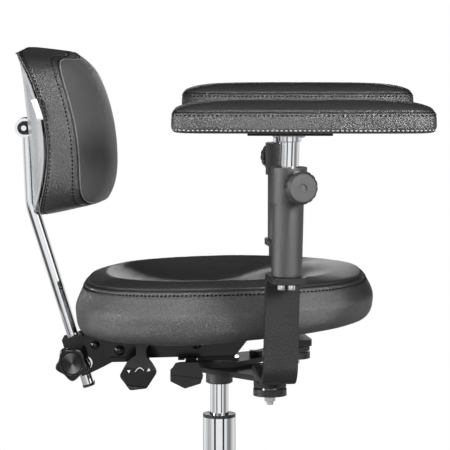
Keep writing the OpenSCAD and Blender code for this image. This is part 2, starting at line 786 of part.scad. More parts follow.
// Rear face of the cushion: flat over the post, swept back above it
function rear_mid(s) = rear_mid_x - back_sweep * pow(max(0, s - sweep_mid) / (back_b - sweep_mid), 2);
function rear_x(t, s) = mixed(rim_x(s), rear_mid(s), mid_share(t));
function shell_x(t, s) = mixed(rim_x(s), shell_mid_x - shell_slope_share * s, mid_share(t));
function seam_x(t, s) = rim_x(s) + back_side_t + back_bow * mid_share(t);
function rim_point(angle, share, forward) =
    let (p = oval(back_a, back_b, back_power, angle) * share)
    [rear_x(p[0], p[1]) + forward, p[0], back_z + p[1]];
// The front seam stands a little inside the rim, and its top dips at the middle
function seam_point(angle, share) =
    let (p = oval(back_a, back_b, back_power, angle),
        t = p[0] * 0.975 * share, s = p[1] * seam_b_share * share,
        dip = 14 * mid_share(t) * max(0, s) / back_b)
    [seam_x(t, s + seam_lift) + back_pillow * (1 - pow(share, 3)), t, back_z + seam_lift + s - dip];
function blended(angle, share, out) =
    let (a = rim_point(angle, 1, 0), b = seam_point(angle, 1), c = mixed(a, b, share))
    [c[0], c[1] * out, back_z + (c[2] - back_z) * out];
module back_cushion() {
    angles = outline_angles(back_power);
    rings = [
        [for (a = angles) rim_point(a, 0.35, 0)], [for (a = angles) rim_point(a, 0.7, 0)],
        [for (a = angles) rim_point(a, shell_share, 0)], [for (a = angles) blended(a, 0.06, 0.995)],
        [for (a = angles) blended(a, 0.3, 1.0)], [for (a = angles) blended(a, 0.6, 0.996)],
        [for (a = angles) blended(a, 0.9, 1.0)], [for (a = angles) seam_point(a, 1)],
        [for (a = angles) seam_point(a, 0.93)], [for (a = angles) seam_point(a, 0.8)],
        [for (a = angles) seam_point(a, 0.5)], [for (a = angles) seam_point(a, 0.2)]
    ];
    color(LEATHER) lofted(rings, [rear_x(0, 0), 0, back_z], seam_point(0, 0));
}
// The pale shell covers the back and leaves a channel for the post
function shell_point(angle, share, depth) =
    let (p = oval(back_a, back_b, back_power, angle) * share, a = rear_x(p[0], p[1]) - shell_gap,
        b = min(a - shell_edge_t, shell_x(p[0], p[1]) - 2))
    [mixed(a, b, depth), p[0], back_z + p[1]];
module back_shell() {
    angles = outline_angles(back_power);
    rings = [
        [for (a = angles) shell_point(a, 0.3, 1)], [for (a = angles) shell_point(a, 0.6, 1)],
        [for (a = angles) shell_point(a, 0.82, 1)], [for (a = angles) shell_point(a, 0.92, 1)],
        [for (a = angles) shell_point(a, shell_share, 0.5)],
        [for (a = angles) shell_point(a, shell_share, 0)],
        [for (a = angles) shell_point(a, 0.7, 0)], [for (a = angles) shell_point(a, 0.35, 0)]
    ];
    color("#d9dbde") difference() {
        lofted(rings, shell_point(0, 0, 1), shell_point(0, 0, 0));
        translate([2 * shell_channel_x, -shell_channel_half, back_z - back_b - cut])
            cube([-shell_channel_x, 2 * shell_channel_half, shell_channel_top - back_z + back_b + cut]);
    }
}

// ARMS: each is drawn in its own frame, standing on the pivot and turned along the bracket
module link_outline(knee, pivot) {
    hull() {
        intersection() {
            circle(r = link_hub_r);
            rotate(-link_trim_turn)
                translate([-link_trim, -link_hub_r]) square([2 * link_hub_r, 2 * link_hub_r]);
        }
        translate(knee) circle(r = link_end_r, $fn = 32);
    }
    round_bar(knee, pivot, link_end_r);
}
module link_bar(z, knee, pivot) {
    color(BLACK) translate([0, 0, z]) difference() {
        linear_extrude(link_t) link_outline(knee, pivot);
        translate([0, 0, -cut]) cylinder(r = sleeve_r + fit, h = link_t + 2 * cut);
        translate([pivot[0], pivot[1], -cut]) cylinder(r = pivot_bolt_r + fit, h = link_t + 2 * cut);
    }
}
module right_link() link_bar(link_z, right_knee, right_pivot);
module left_link() {
    link_bar(upper_link_z, left_knee, left_pivot);
    // Stop block with a socket screw on the bar's front edge
    block = [20, 14, 12];
    color(BLACK)
        translate([left_knee[0] - 20, left_knee[1] - link_end_r - 12, upper_link_z + 4]) difference() {
        cube(block);
        translate([block[0] / 2, -cut, block[2] / 2]) rotate([-90, 0, 0]) cylinder(r = 4, h = 8);
    }
}

module at_pivot(pivot) {
    translate([pivot[0], pivot[1], 0]) children();
}
// Bolt through bracket foot, link bar and disc: round head above, nut below
module pivot_bolt(pivot, bar_z, foot_z) {
    low = bar_z - wave_h - disc_h - flat_gap;
    color(CHROME) at_pivot(pivot) {
        translate([0, 0, low - nut_h - 5]) cylinder(r = pivot_bolt_r, h = foot_z + bar_t - low + nut_h + 5);
        translate([0, 0, foot_z + bar_t]) dome(dome_r + 2, dome_h);
        translate([0, 0, low - nut_h]) cylinder(r = nut_r, h = nut_h - flat_gap, $fn = 6);
    }
}
module wave_washer(pivot, bar_z) {
    color(CHROME) at_pivot(pivot) translate([0, 0, bar_z - wave_h - flat_gap / 2])
        ring(15.5, pivot_bolt_r + fit, wave_h - flat_gap / 2);
}
module friction_disc(pivot, bar_z) {
    color(BLACK) at_pivot(pivot) translate([0, 0, bar_z - wave_h - disc_h - flat_gap])
        ring(disc_r, pivot_bolt_r + fit, disc_h);
}
// The bracket: foot, bend, upright plate and tab, from a frame at the pivot with +X along the foot.
// lean_y turns the upright about the foot's far end.
module bracket_upright(turn, lean) {
    up_x = arm_reach - plate_in;
    translate([up_x, 0, bar_t]) rotate([0, 0, -turn]) rotate([0, lean, 0]) rotate([0, 0, turn])
        translate([-up_x, 0, -bar_t]) children();
}
module bracket(pivot, foot_z, spacer_z, turn, lean) {
    up_x = arm_reach - plate_in;
    corner = 12;
    color(BLACK) at_pivot(pivot) translate([0, 0, foot_z]) rotate(turn) difference() {
        union() {
            linear_extrude(bar_t) {
                translate([0, -bar_w / 2]) square([up_x + bar_t - bend_r - cut / 2, bar_w]);
                translate([-bar_w / 2, -bar_w / 2 + corner]) square([bar_w, bar_w - 2 * corner]);
                translate([-bar_w / 2 + corner, -bar_w / 2]) square([bar_w, bar_w]);
                for (s = [-1, 1])
                    translate([-bar_w / 2 + corner, s * (bar_w / 2 - corner)]) circle(r = corner);
            }
            if (spacer_z < foot_z - cut) translate([0, 0, spacer_z - foot_z])
                cylinder(r = spacer_r, h = foot_z - spacer_z + cut);
            bracket_upright(turn, lean) {
                translate([0, bar_w / 2, 0]) rotate([90, 0, 0]) linear_extrude(bar_w) {
                    intersection() {
                        translate([up_x + bar_t - bend_r, bend_r]) difference() {
                            circle(r = bend_r);
                            circle(r = bend_r - bar_t);
                        }
                        translate([up_x + bar_t - bend_r, 0]) square(bend_r);
                    }
                    translate([up_x, bend_r]) square([bar_t, bracket_h - bend_r - bar_t / 2]);
                    translate([up_x + bar_t - bend_r - cut, 0]) square([cut, bar_t]);
                }
                translate([up_x, -bar_w / 2, bracket_h - bar_t])
                    cube([bar_t + 2 * tab_half - corner, bar_w, bar_t]);
                translate([up_x, -bar_w / 2 + corner, bracket_h - bar_t])
                    cube([bar_t + 2 * tab_half, bar_w - 2 * corner, bar_t]);
                for (s = [-1, 1])
                    translate([up_x + bar_t + 2 * tab_half - corner, s * (bar_w / 2 - corner), 0])
                    translate([0, 0, bracket_h - bar_t]) cylinder(r = corner, h = bar_t);
            }
        }
        translate([0, 0, -cut - foot_z + spacer_z]) cylinder(r = pivot_bolt_r + fit, h = bracket_h);
        bracket_upright(turn, lean) for (s = [-1, 1])
            translate([arm_reach, s * screw_pitch / 2, bracket_h - bar_t - cut])
            cylinder(r = screw_r + fit, h = bar_t + 2 * cut);
    }
}
// What stands on the tab, from a frame on the tube's axis with z = 0 on the tab
module on_tab(pivot, foot_z, turn, lean) {
    at_pivot(pivot) translate([0, 0, foot_z]) rotate(turn) bracket_upright(turn, lean)
        translate([arm_reach, 0, bracket_h]) children();
}
module tab_screws() {
    color(CHROME) for (s = [-1, 1]) translate([0, s * screw_pitch / 2, -bar_t]) {
        translate([0, 0, 0]) cylinder(r = screw_r, h = bar_t);
        translate([0, 0, -screw_head_h]) cylinder(r = screw_head_r, h = screw_head_h);
    }
}
module arm_tube() {
    color(BLACK) ring(arm_tube_r, arm_post_r + fit, arm_tube_h + collar_lap);
}
module clamp_collar(knob_turn) {
    color(BLACK) translate([0, 0, arm_tube_h]) difference() {
        union() {
            cylinder(r = collar_r, h = collar_h);
            rotate(knob_turn) translate([0, 0, collar_h / 2]) rotate([0, 90, 0])
                cylinder(r = 9, h = knob_reach - 2);
        }
        translate([0, 0, -cut]) cylinder(r = arm_tube_r + fit, h = collar_lap + cut);
        translate([0, 0, -cut]) cylinder(r = arm_post_r + fit, h = collar_h + 2 * cut);
        rotate(knob_turn) translate([0, 0, collar_h / 2]) rotate([0, 90, 0])
            cylinder(r = knob_stud_r + fit, h = 2 * knob_reach);
    }
}
module fluted_knob(knob_turn) {
    color(BLACK) translate([0, 0, arm_tube_h + collar_h / 2]) rotate(knob_turn) rotate([0, 90, 0]) {
        stud_from = arm_post_r + 2;
        translate([0, 0, stud_from]) cylinder(r = knob_stud_r, h = knob_reach - stud_from + cut);
        translate([0, 0, knob_reach]) difference() {
            rotate_extrude() polygon([
                [0, 0], [knob_r - 2, 0], [knob_r, 2], [knob_r, knob_h - 4], [knob_r - 4, knob_h], [0, knob_h]
            ]);
            for (k = [0:knob_flutes - 1]) rotate(k * 360 / knob_flutes)
                translate([knob_r + flute_r / 2, 0, -cut])
                cylinder(r = flute_r, h = knob_h + 2 * cut, $fn = 16);
            translate([0, 0, knob_h - 1.5]) cylinder(r = 5, h = 2);
        }
    }
}
post_inside = 50;
post_z = arm_tube_h + collar_h;
module arm_post() {
    color(CHROME) translate([0, 0, post_z - collar_h - post_inside])
        cylinder(r = arm_post_r,
            h = collar_h + post_inside + arm_post_show + socket_h - flat_gap - arm_post_r * sin(right_lean));
}
// Plate and pad stay level and turn about the post's axis
function post_top(pivot, foot_z, turn, lean) =
    let (up = bracket_h - bar_t + post_z + arm_post_show,
        root = [pivot[0] + (arm_reach - plate_in) * cos(turn), pivot[1] + (arm_reach - plate_in) * sin(turn)],
        out = plate_in)
    [root[0] + out * cos(turn) + up * sin(lean), root[1] + out * sin(turn), foot_z + bar_t + up * cos(lean)];
right_top = post_top(right_pivot, right_foot_z, right_turn, right_lean);
left_top = post_top(left_pivot, left_foot_z, left_turn, 0);
module pad_plate(top, side) {
    color(CHROME) translate(top) ring(socket_r, arm_post_r + fit + socket_h * sin(right_lean), socket_h);
    color(BLACK) translate([top[0] - plate_len / 2, top[1] - plate_w / 2 + side * 2, top[2] + socket_h])
        cube([plate_len, plate_w, plate_h]);
}
pad_power = 7;
// Each ring: share of the outline in length, in width, share of the side height, share of the crown
pad_rings = [
    [0.94, 0.82, 0, 0], [0.985, 0.95, 0.02, 0], [1.0, 1.0, 0.2, 0], [0.997, 0.99, 0.55, 0],
    [0.995, 0.985, 0.85, 0],
    [0.985, 0.95, 1.0, 0.1], [0.965, 0.88, 1.0, 0.45], [0.90, 0.70, 1.0, 0.8], [0.7, 0.4, 1.0, 0.97]
];
module arm_pad(top, side) {
    base_z = top[2] + socket_h + plate_h + soft_gap;
    rings = [for (r = pad_rings) [for (a = outline_angles(pad_power))
        let (p = oval(pad_len / 2 * r[0], pad_w / 2 * r[1], pad_power, a))
        [pad_x + p[0], side * pad_y + p[1], base_z + pad_side_h * r[2] + pad_crown * r[3]]]];
    color(LEATHER) lofted(rings, [pad_x, side * pad_y, base_z],
        [pad_x, side * pad_y, base_z + pad_side_h + pad_crown]);
}

module right_pivot_bolt() pivot_bolt(right_pivot, link_z, right_foot_z);
module right_wave_washer() wave_washer(right_pivot, link_z);
module right_friction_disc() friction_disc(right_pivot, link_z);
module right_bracket() bracket(right_pivot, right_foot_z, link_z + link_t + flat_gap, right_turn, right_lean);
module on_right_tab() on_tab(right_pivot, right_foot_z, right_turn, right_lean) children();
module right_tab_screws() on_right_tab() tab_screws();
module right_arm_tube() on_right_tab() arm_tube();
module right_collar() on_right_tab() clamp_collar(right_knob_turn);
module right_knob() on_right_tab() fluted_knob(right_knob_turn);
module right_arm_post() on_right_tab() arm_post();
module right_pad_plate() pad_plate(right_top, -1);
module right_pad() arm_pad(right_top, -1);

module left_pivot_bolt() pivot_bolt(left_pivot, upper_link_z, left_foot_z);
module left_wave_washer() wave_washer(left_pivot, upper_link_z);
module left_friction_disc() friction_disc(left_pivot, upper_link_z);
module left_bracket() bracket(left_pivot, left_foot_z, left_foot_z, left_turn, 0);
module on_left_tab() on_tab(left_pivot, left_foot_z, left_turn, 0) children();
module left_tab_screws() on_left_tab() tab_screws();
module left_arm_tube() on_left_tab() arm_tube();
module left_collar() on_left_tab() clamp_collar(left_knob_turn);
module left_knob() on_left_tab() fluted_knob(left_knob_turn);
module left_arm_post() on_left_tab() arm_post();
module left_pad_plate() pad_plate(left_top, 1);
module left_pad() arm_pad(left_top, 1);

star_base();
castor_frame(0);  // castor_frame_1
castor_frame(1);  // castor_frame_2
castor_frame(2);  // castor_frame_3
castor_frame(3);  // castor_frame_4
castor_frame(4);  // castor_frame_5
castor_wheels(0);  // castor_wheels_1
castor_wheels(1);  // castor_wheels_2
castor_wheels(2);  // castor_wheels_3
castor_wheels(3);  // castor_wheels_4
castor_wheels(4);  // castor_wheels_5
outer_tube();
tube_bushing();
thrust_bearing();
piston_rod();
gas_tube();
hub_sleeve();
hub_collar();
hub_washer();
height_lever();
tilt_frame();
frame_bolts();
tilt_lever();
seat_board();
seat_cushion();
back_bracket();
back_clamp();
clamp_bolts();
star_knob();
knob_inset();
back_post();
post_cap();
back_hinge();
shell_bracket();
back_shell();
back_cushion();
right_link();
right_pivot_bolt();
right_wave_washer();
right_friction_disc();
right_bracket();
right_tab_screws();
right_arm_tube();
right_collar();
right_knob();
right_arm_post();
right_pad_plate();
right_pad();
left_link();
left_pivot_bolt();
left_wave_washer();
left_friction_disc();
left_bracket();
left_tab_screws();
left_arm_tube();
left_collar();
left_knob();
left_arm_post();
left_pad_plate();
left_pad();
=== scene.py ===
import math
import bpy
import bmesh
import numpy as np
from mathutils import Matrix, Vector
from mathutils.bvhtree import BVHTree
from mathutils.kdtree import KDTree


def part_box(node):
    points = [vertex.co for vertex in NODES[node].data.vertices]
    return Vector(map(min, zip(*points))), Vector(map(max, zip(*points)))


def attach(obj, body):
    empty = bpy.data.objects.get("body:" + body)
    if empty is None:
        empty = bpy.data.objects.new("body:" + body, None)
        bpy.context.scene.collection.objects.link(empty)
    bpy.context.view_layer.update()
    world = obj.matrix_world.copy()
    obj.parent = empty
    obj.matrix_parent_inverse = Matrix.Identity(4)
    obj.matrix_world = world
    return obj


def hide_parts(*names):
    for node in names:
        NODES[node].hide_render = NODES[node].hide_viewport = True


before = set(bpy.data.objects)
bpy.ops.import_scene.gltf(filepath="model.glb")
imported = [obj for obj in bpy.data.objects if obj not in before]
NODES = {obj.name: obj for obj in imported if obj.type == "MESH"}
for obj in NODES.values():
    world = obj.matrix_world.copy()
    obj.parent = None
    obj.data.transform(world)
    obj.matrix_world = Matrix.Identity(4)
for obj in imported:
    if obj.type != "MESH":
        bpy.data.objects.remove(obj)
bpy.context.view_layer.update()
scene = bpy.context.scene
MM = 0.001


# Shader helpers
def fill(nt, n, inputs):
    """Sets a node's inputs: a socket is linked, anything else is written as a constant."""
    for k, v in inputs.items():
        if isinstance(v, bpy.types.NodeSocket):
            nt.links.new(v, n.inputs[k])
        else:
            n.inputs[k].default_value = v
    return n


def node(nt, kind, inputs=None, **attrs):
    n = nt.nodes.new(kind)
    for k, v in attrs.items():
        setattr(n, k, v)
    return fill(nt, n, inputs or {})


def math_node(nt, op, *values, clamp=False):
    return node(nt, "ShaderNodeMath", dict(enumerate(values)), operation=op, use_clamp=clamp).outputs[0]


def vector_node(nt, op, inputs, out=0):
    return node(nt, "ShaderNodeVectorMath", inputs, operation=op).outputs[out]


def noise(nt, co, scale, detail, **inputs):
    return node(nt, "ShaderNodeTexNoise", {"Vector": co, "Scale": scale, "Detail": detail, **inputs}).outputs[0]


def mixed(nt, fac, a, b, blend="MIX"):
    return node(nt, "ShaderNodeMixRGB", {"Fac": fac, "Color1": a, "Color2": b}, blend_type=blend).outputs[0]


def mapped(nt, value, source, target):
    """A value taken from the source range to the target range."""
    return node(nt, "ShaderNodeMapRange", {"Value": value, "From Min": source[0], "From Max": source[1],
                                           "To Min": target[0], "To Max": target[1]}).outputs[0]


def bump(nt, height, strength, distance, **inputs):
    return node(nt, "ShaderNodeBump",
                {"Height": height, "Strength": strength, "Distance": distance, **inputs}).outputs[0]


def stored(nt, name):
    return node(nt, "ShaderNodeAttribute", attribute_name=name).outputs["Fac"]


def object_coords(nt):
    return node(nt, "ShaderNodeTexCoord").outputs["Object"]


def ramp(nt, fac, stops):
    r = nt.nodes.new("ShaderNodeValToRGB")
    nt.links.new(fac, r.inputs[0])
    while len(r.color_ramp.elements) < len(stops):
        r.color_ramp.elements.new(0.5)
    for e, (p, c) in zip(r.color_ramp.elements, stops):
        e.position = p
        e.color = (c, c, c, 1) if isinstance(c, (int, float)) else (*c, 1)
    return r.outputs[0]


def times(color, k):
    return tuple(min(1, c * k) for c in color)


def base_material(name):
    m = bpy.data.materials.new(name)
    m.use_nodes = True
    nt = m.node_tree
    return m, nt, nt.nodes["Principled BSDF"]


# Materials
STITCH_WAVE = 6.0  # millimetres from one pucker of the hide to the next
SEAM_REACH = 4.0  # millimetres that the painted shade at a seam spans; the painted shade ends halfway along it
ROW_REACH = 5.0  # millimetres to each side of a stitch row where the hide puckers
LATHE_PITCH = 0.0011  # metres between two rings of the turned disc


def leather(name):
    """Black hide with a pebbled grain; it reads the seams, the stitch rows and the dull panel off the mesh, and paints
    shade into each seam.
    """
    color = (0.012, 0.012, 0.0125)
    m, nt, p = base_material(name)
    co = object_coords(nt)
    cells = node(nt, "ShaderNodeTexVoronoi", {"Vector": co, "Scale": 540, "Randomness": 0.9},
                 feature="DISTANCE_TO_EDGE")
    pebble = ramp(nt, cells.outputs["Distance"], [(0.0, 0.0), (0.16, 0.75), (0.45, 1.0)])
    fine = noise(nt, co, 520, 2, Roughness=0.6)
    mid = noise(nt, co, 95, 4, Roughness=0.6)
    broad = noise(nt, co, 14, 3, Roughness=0.5)
    height = math_node(nt, "MULTIPLY_ADD", fine, 1.1, math_node(nt, "MULTIPLY", pebble, 0.45))
    normal = bump(nt, height, 0.5, 0.0013)
    patches = math_node(nt, "ADD", math_node(nt, "MULTIPLY", mid, 0.5), math_node(nt, "MULTIPLY", broad, 0.5))
    tone = ramp(nt, patches, [(0.30, times(color, 0.78)), (0.70, times(color, 1.30))])
    shade = mixed(nt, 0.35, tone, pebble, "MULTIPLY")

    to_seam, along, to_row = stored(nt, "seam_d"), stored(nt, "seam_u"), stored(nt, "stitch_d")
    near = math_node(nt, "SUBTRACT", 1.0, math_node(nt, "DIVIDE", to_row, ROW_REACH, clamp=True), clamp=True)
    wave = math_node(nt, "SINE", math_node(nt, "MULTIPLY", along, 2 * math.pi / STITCH_WAVE))
    pucker = math_node(nt, "MULTIPLY", math_node(nt, "MULTIPLY", near, near), wave)
    normal = bump(nt, pucker, 0.5, 0.0005, Normal=normal)
    # Painted shade: the hide's colour and its shine fall off towards each seam's groove.
    painted_seam_shade = ramp(nt, math_node(nt, "DIVIDE", to_seam, SEAM_REACH, clamp=True),
                [(0.0, 0.18), (0.22, 0.45), (0.5, 1.0)])
    shade = mixed(nt, 1.0, shade, painted_seam_shade, "MULTIPLY")
    shine = math_node(nt, "MULTIPLY", ramp(nt, fine, [(0.34, 0.62), (0.66, 1.0)]), painted_seam_shade)

    panel = stored(nt, "panel")
    hide = ramp(nt, broad, [(0.3, (0.072, 0.072, 0.073)), (0.7, (0.090, 0.090, 0.091))])
    shade = mixed(nt, panel, shade, mixed(nt, 1.0, hide, painted_seam_shade, "MULTIPLY"))
    shine = math_node(nt, "MULTIPLY", shine, math_node(nt, "MULTIPLY_ADD", panel, -0.85, 1.0))
    p.inputs["Specular IOR Level"].default_value = 0.8
    fill(nt, p, {"Base Color": shade, "Roughness": mapped(nt, mid, (0.3, 0.7), (0.31, 0.40)), "Normal": normal,
                 "Specular IOR Level": shine, "IOR": 1.7})
    return m


def paint(name, color, rough=(0.36, 0.46), speck=1500, depth=0.00006, metal=0.0, coat=0.0, bevel=0.0, spots=0.25,
          specular=0.5):
    """A painted, moulded or metal surface with fine specks; bevel softens its edges in the shading."""
    m, nt, p = base_material(name)
    co = object_coords(nt)
    lumps = ramp(nt, noise(nt, co, speck, 2, Roughness=0.55), [(0.35, 0.0), (0.65, 1.0)])
    mid = noise(nt, co, 30, 4, Roughness=0.6)
    soft = {"Normal": node(nt, "ShaderNodeBevel", {"Radius": bevel}, samples=4).outputs[0]} if bevel else {}
    tone = ramp(nt, mid, [(0.3, times(color, 1 - spots)), (0.7, times(color, 1 + spots))])
    fill(nt, p, {"Base Color": tone, "Roughness": mapped(nt, mid, (0.3, 0.7), rough), "Metallic": metal,
                 "Coat Weight": coat, "Specular IOR Level": specular, "Normal": bump(nt, lumps, 0.7, depth, **soft)})
    return m


def chrome(name):
    color = (0.86, 0.87, 0.89)
    m, nt, p = base_material(name)
    co = object_coords(nt)
    haze = noise(nt, co, 40, 5, Roughness=0.65)
    stretched = node(nt, "ShaderNodeMapping", {"Vector": co, "Scale": (900, 900, 12)}).outputs[0]
    lines = noise(nt, stretched, 1, 2)
    rough = mapped(nt, math_node(nt, "MULTIPLY", haze, lines), (0.1, 0.5), (0.03, 0.08))
    tone = ramp(nt, haze, [(0.3, times(color, 0.95)), (0.7, color)])
    fill(nt, p, {"Roughness": rough, "Base Color": tone, "Metallic": 1.0, "Normal": bump(nt, haze, 0.15, 0.00002)})
    return m


def spun_with_painted_fans(name, centre, axis, across):
    """A disc turned on a lathe: fine rings round an axis in its bump, near black, with two light fans painted into its
    colour as a painted highlight.
    """
    m, nt, p = base_material(name)
    co = object_coords(nt)
    off = vector_node(nt, "SUBTRACT", {0: co, 1: centre})
    along = vector_node(nt, "DOT_PRODUCT", {0: off, 1: axis}, "Value")
    lift = vector_node(nt, "SCALE", {0: axis, "Scale": along})
    flat = vector_node(nt, "SUBTRACT", {0: off, 1: lift})
    r = vector_node(nt, "LENGTH", {0: flat}, "Value")
    unit = vector_node(nt, "NORMALIZE", {0: flat})
    rings = math_node(nt, "SINE", math_node(nt, "MULTIPLY", r, 2 * math.pi / LATHE_PITCH))
    # Painted highlight: two light fans, fixed to the knob, are painted into the base colour in place of the shine that
    # turned rings give.
    turn = vector_node(nt, "DOT_PRODUCT", {0: unit, 1: across}, "Value")
    painted_fan_highlight = math_node(nt, "POWER", math_node(nt, "ABSOLUTE", turn), 7.0)
    grain = noise(nt, co, 700, 3)
    painted_fans_and_grain = math_node(nt, "MULTIPLY_ADD", painted_fan_highlight, 0.19, math_node(nt, "MULTIPLY", grain, 0.03))
    fill(nt, p, {"Normal": bump(nt, rings, 0.4, 0.00008), "Base Color": ramp(nt, painted_fans_and_grain, [(0.0, 0.008), (0.3, 0.30)]),
                 "Metallic": 0.8, "Roughness": 0.38})
    return m


M = {
    "leather": leather("black_leather"),
    "thread": paint("thread", (0.003, 0.003, 0.0032), (0.6, 0.7), speck=2500, depth=0.0001, specular=0.15),
    # Light grey thread: a painted highlight standing in for the shine on the pads' lower stitch rows.
    "thread_painted_highlight": paint("thread_painted_highlight", (0.50, 0.50, 0.51), (0.5, 0.6), speck=4000, depth=0.0001),
    "paint": paint("black_powder_coat", (0.013, 0.013, 0.0135), (0.36, 0.46), speck=620, depth=0.0007,
                   bevel=0.0011, specular=0.38),
    "gloss": paint("black_gloss_steel", (0.0055, 0.0055, 0.006), (0.12, 0.2), speck=700, depth=0.00002,
                   bevel=0.0008, specular=0.35),
    "plastic": paint("black_plastic", (0.0065, 0.0065, 0.007), (0.30, 0.40), speck=900, depth=0.00015,
                     bevel=0.0014, specular=0.6),
    "satin": paint("satin_black", (0.015, 0.015, 0.0155), (0.34, 0.44), speck=900, depth=0.0003,
                   bevel=0.0014, specular=1.0),
    "binding": paint("binding_leather", (0.008, 0.008, 0.0085), (0.4, 0.5), speck=1600, depth=0.0001),
    # Light grey cord: a painted highlight on the fold of the backrest's front seam.
    "painted_seam_highlight": paint("painted_highlight_cord", (0.20, 0.20, 0.204), (0.4, 0.5), speck=1600, depth=0.0001, specular=0.4),
    # Pale grey thread: a painted sheen on the stitch row at the backrest's rear rim.
    "thread_painted_sheen": paint("thread_painted_sheen", (0.38, 0.38, 0.39), (0.5, 0.6), speck=2500, depth=0.0001, specular=0.3),
    "bushing": paint("bushing_plastic", (0.008, 0.008, 0.0085), (0.26, 0.36), speck=2000, depth=0.00003,
                     bevel=0.0008, specular=0.7),
    "bolt": paint("black_bolt", (0.010, 0.010, 0.011), (0.14, 0.22), speck=900, depth=0.00002, bevel=0.0005),
    "chrome": chrome("bright_chrome"),
    "steel": paint("ground_steel", (0.42, 0.43, 0.44), (0.28, 0.4), speck=2200, depth=0.00003, metal=1.0,
                   bevel=0.0005, spots=0.1),
    "zinc": paint("zinc_steel", (0.50, 0.51, 0.53), (0.25, 0.38), speck=1800, depth=0.00003, metal=1.0,
                  bevel=0.0006, spots=0.15),
    "alloy": paint("polished_alloy", (0.66, 0.67, 0.69), (0.16, 0.28), speck=500, depth=0.00003, metal=1.0,
                   bevel=0.0015, spots=0.06),
    "tread": paint("castor_tread", (0.045, 0.045, 0.047), (0.5, 0.65), bevel=0.0008),
    "castor": paint("castor_plastic", (0.022, 0.022, 0.023), (0.3, 0.42), speck=2200, depth=0.00004, bevel=0.001),
    "board": paint("stained_plywood", (0.09, 0.07, 0.052), (0.55, 0.7), speck=400, depth=0.0002, spots=0.2),
    "shell": paint("pale_shell", (0.42, 0.425, 0.44), (0.24, 0.34), speck=1800, depth=0.00002, coat=0.3,
                   bevel=0.001, spots=0.03),
    "white_print": paint("white_print", (0.80, 0.80, 0.80), (0.4, 0.5), speck=3000, depth=0.00001, spots=0.03),
    "tag": paint("tag_cloth", (0.78, 0.79, 0.80), (0.6, 0.75), speck=2600, depth=0.0001, spots=0.04),
}

# The star knob's axis, and the point where it meets the leaning back post's middle line
KNOB_YAW = math.radians(10)
KNOB_AXIS = Vector((-math.sin(KNOB_YAW), -math.cos(KNOB_YAW), 0))
KNOB_FROM = Vector((-285.8 + (680 - 442.7) * math.tan(math.radians(17.3)), 0, 442.7)) * MM
M["spun_with_painted_fans"] = spun_with_painted_fans("spun_disc_painted_fans", tuple(KNOB_FROM + KNOB_AXIS * 0.059), tuple(KNOB_AXIS), (-0.30, 0.0, 0.95))

FINISH = {
    "star_base": "alloy", "outer_tube": "chrome", "tube_bushing": "bushing", "thrust_bearing": "steel",
    "piston_rod": "steel", "gas_tube": "chrome", "hub_washer": "chrome", "frame_bolts": "bolt",
    "height_lever": "plastic", "tilt_lever": "plastic", "seat_board": "board", "clamp_bolts": "chrome",
    "star_knob": "plastic", "knob_inset": "spun_with_painted_fans", "back_post": "chrome", "post_cap": "bushing",
    "back_hinge": "chrome", "back_shell": "shell", "tilt_frame": "gloss", "back_bracket": "gloss"}
FINISH_BY_END = {
    "pivot_bolt": "zinc", "wave_washer": "chrome", "friction_disc": "plastic", "tab_screws": "chrome",
    "arm_post": "chrome", "_knob": "satin", "arm_tube": "satin", "collar": "satin", "_pad": "leather",
    "cushion": "leather"}
FINISH_BY_START = {"castor_frame": "castor", "castor_wheels": "tread"}


def finish_of(name):
    if name in FINISH:
        return FINISH[name]
    for end, finish in FINISH_BY_END.items():
        if name.endswith(end):
            return finish
    for start, finish in FINISH_BY_START.items():
        if name.startswith(start):
            return finish
    return "paint"


for name, o in NODES.items():
    o.data.materials.clear()
    o.data.materials.append(M[finish_of(name)])


# Mesh helpers
def link(o):
    scene.collection.objects.link(o)
    return o


def mesh_object(name, verts, faces, material, smooth=True):
    me = bpy.data.meshes.new(name)
    me.from_pydata([tuple(v) for v in verts], [], faces)
    me.validate()
    me.update()
    bm = bmesh.new()
    bm.from_mesh(me)
    bmesh.ops.recalc_face_normals(bm, faces=bm.faces)
    bm.to_mesh(me)
    bm.free()
    for p in me.polygons:
        p.use_smooth = smooth
    me.materials.append(M[material])
    return link(bpy.data.objects.new(name, me))


def apply_modifiers(o):
    dg = bpy.context.evaluated_depsgraph_get()
    me = bpy.data.meshes.new_from_object(o.evaluated_get(dg))
    old = o.data
    o.modifiers.clear()
    o.data = me
    bpy.data.meshes.remove(old)
    for p in o.data.polygons:
        p.use_smooth = True


def lofted(name, rings, first, last, material):
    """A closed skin over rings of equal length, drawn together to a first and a last point."""
    n = len(rings[0])
    verts = [first] + [p for r in rings for p in r] + [last]
    end = len(verts) - 1
    faces = [(0, 1 + (j + 1) % n, 1 + j) for j in range(n)]
    for i in range(len(rings) - 1):
        a, b = 1 + i * n, 1 + (i + 1) * n
        faces += [(a + j, a + (j + 1) % n, b + (j + 1) % n, b + j) for j in range(n)]
    top = 1 + (len(rings) - 1) * n
    faces += [(end, top + j, top + (j + 1) % n) for j in range(n)]
    return mesh_object(name, verts, faces, material)


def even_angles(a, b, n, count):
    """Angles that walk round a superellipse in about equal steps."""
    t = np.linspace(0, 2 * math.pi, 4001)
    x = a * np.sign(np.cos(t)) * np.abs(np.cos(t)) ** (2 / n)
    y = b * np.sign(np.sin(t)) * np.abs(np.sin(t)) ** (2 / n)
    s = np.concatenate([[0], np.cumsum(np.hypot(np.diff(x), np.diff(y)))])
    return np.interp(np.linspace(0, s[-1], count, endpoint=False), s, t)


def oval(a, b, n, t):
    c, s = math.cos(t), math.sin(t)
    return a * math.copysign(abs(c) ** (2 / n), c), b * math.copysign(abs(s) ** (2 / n), s)


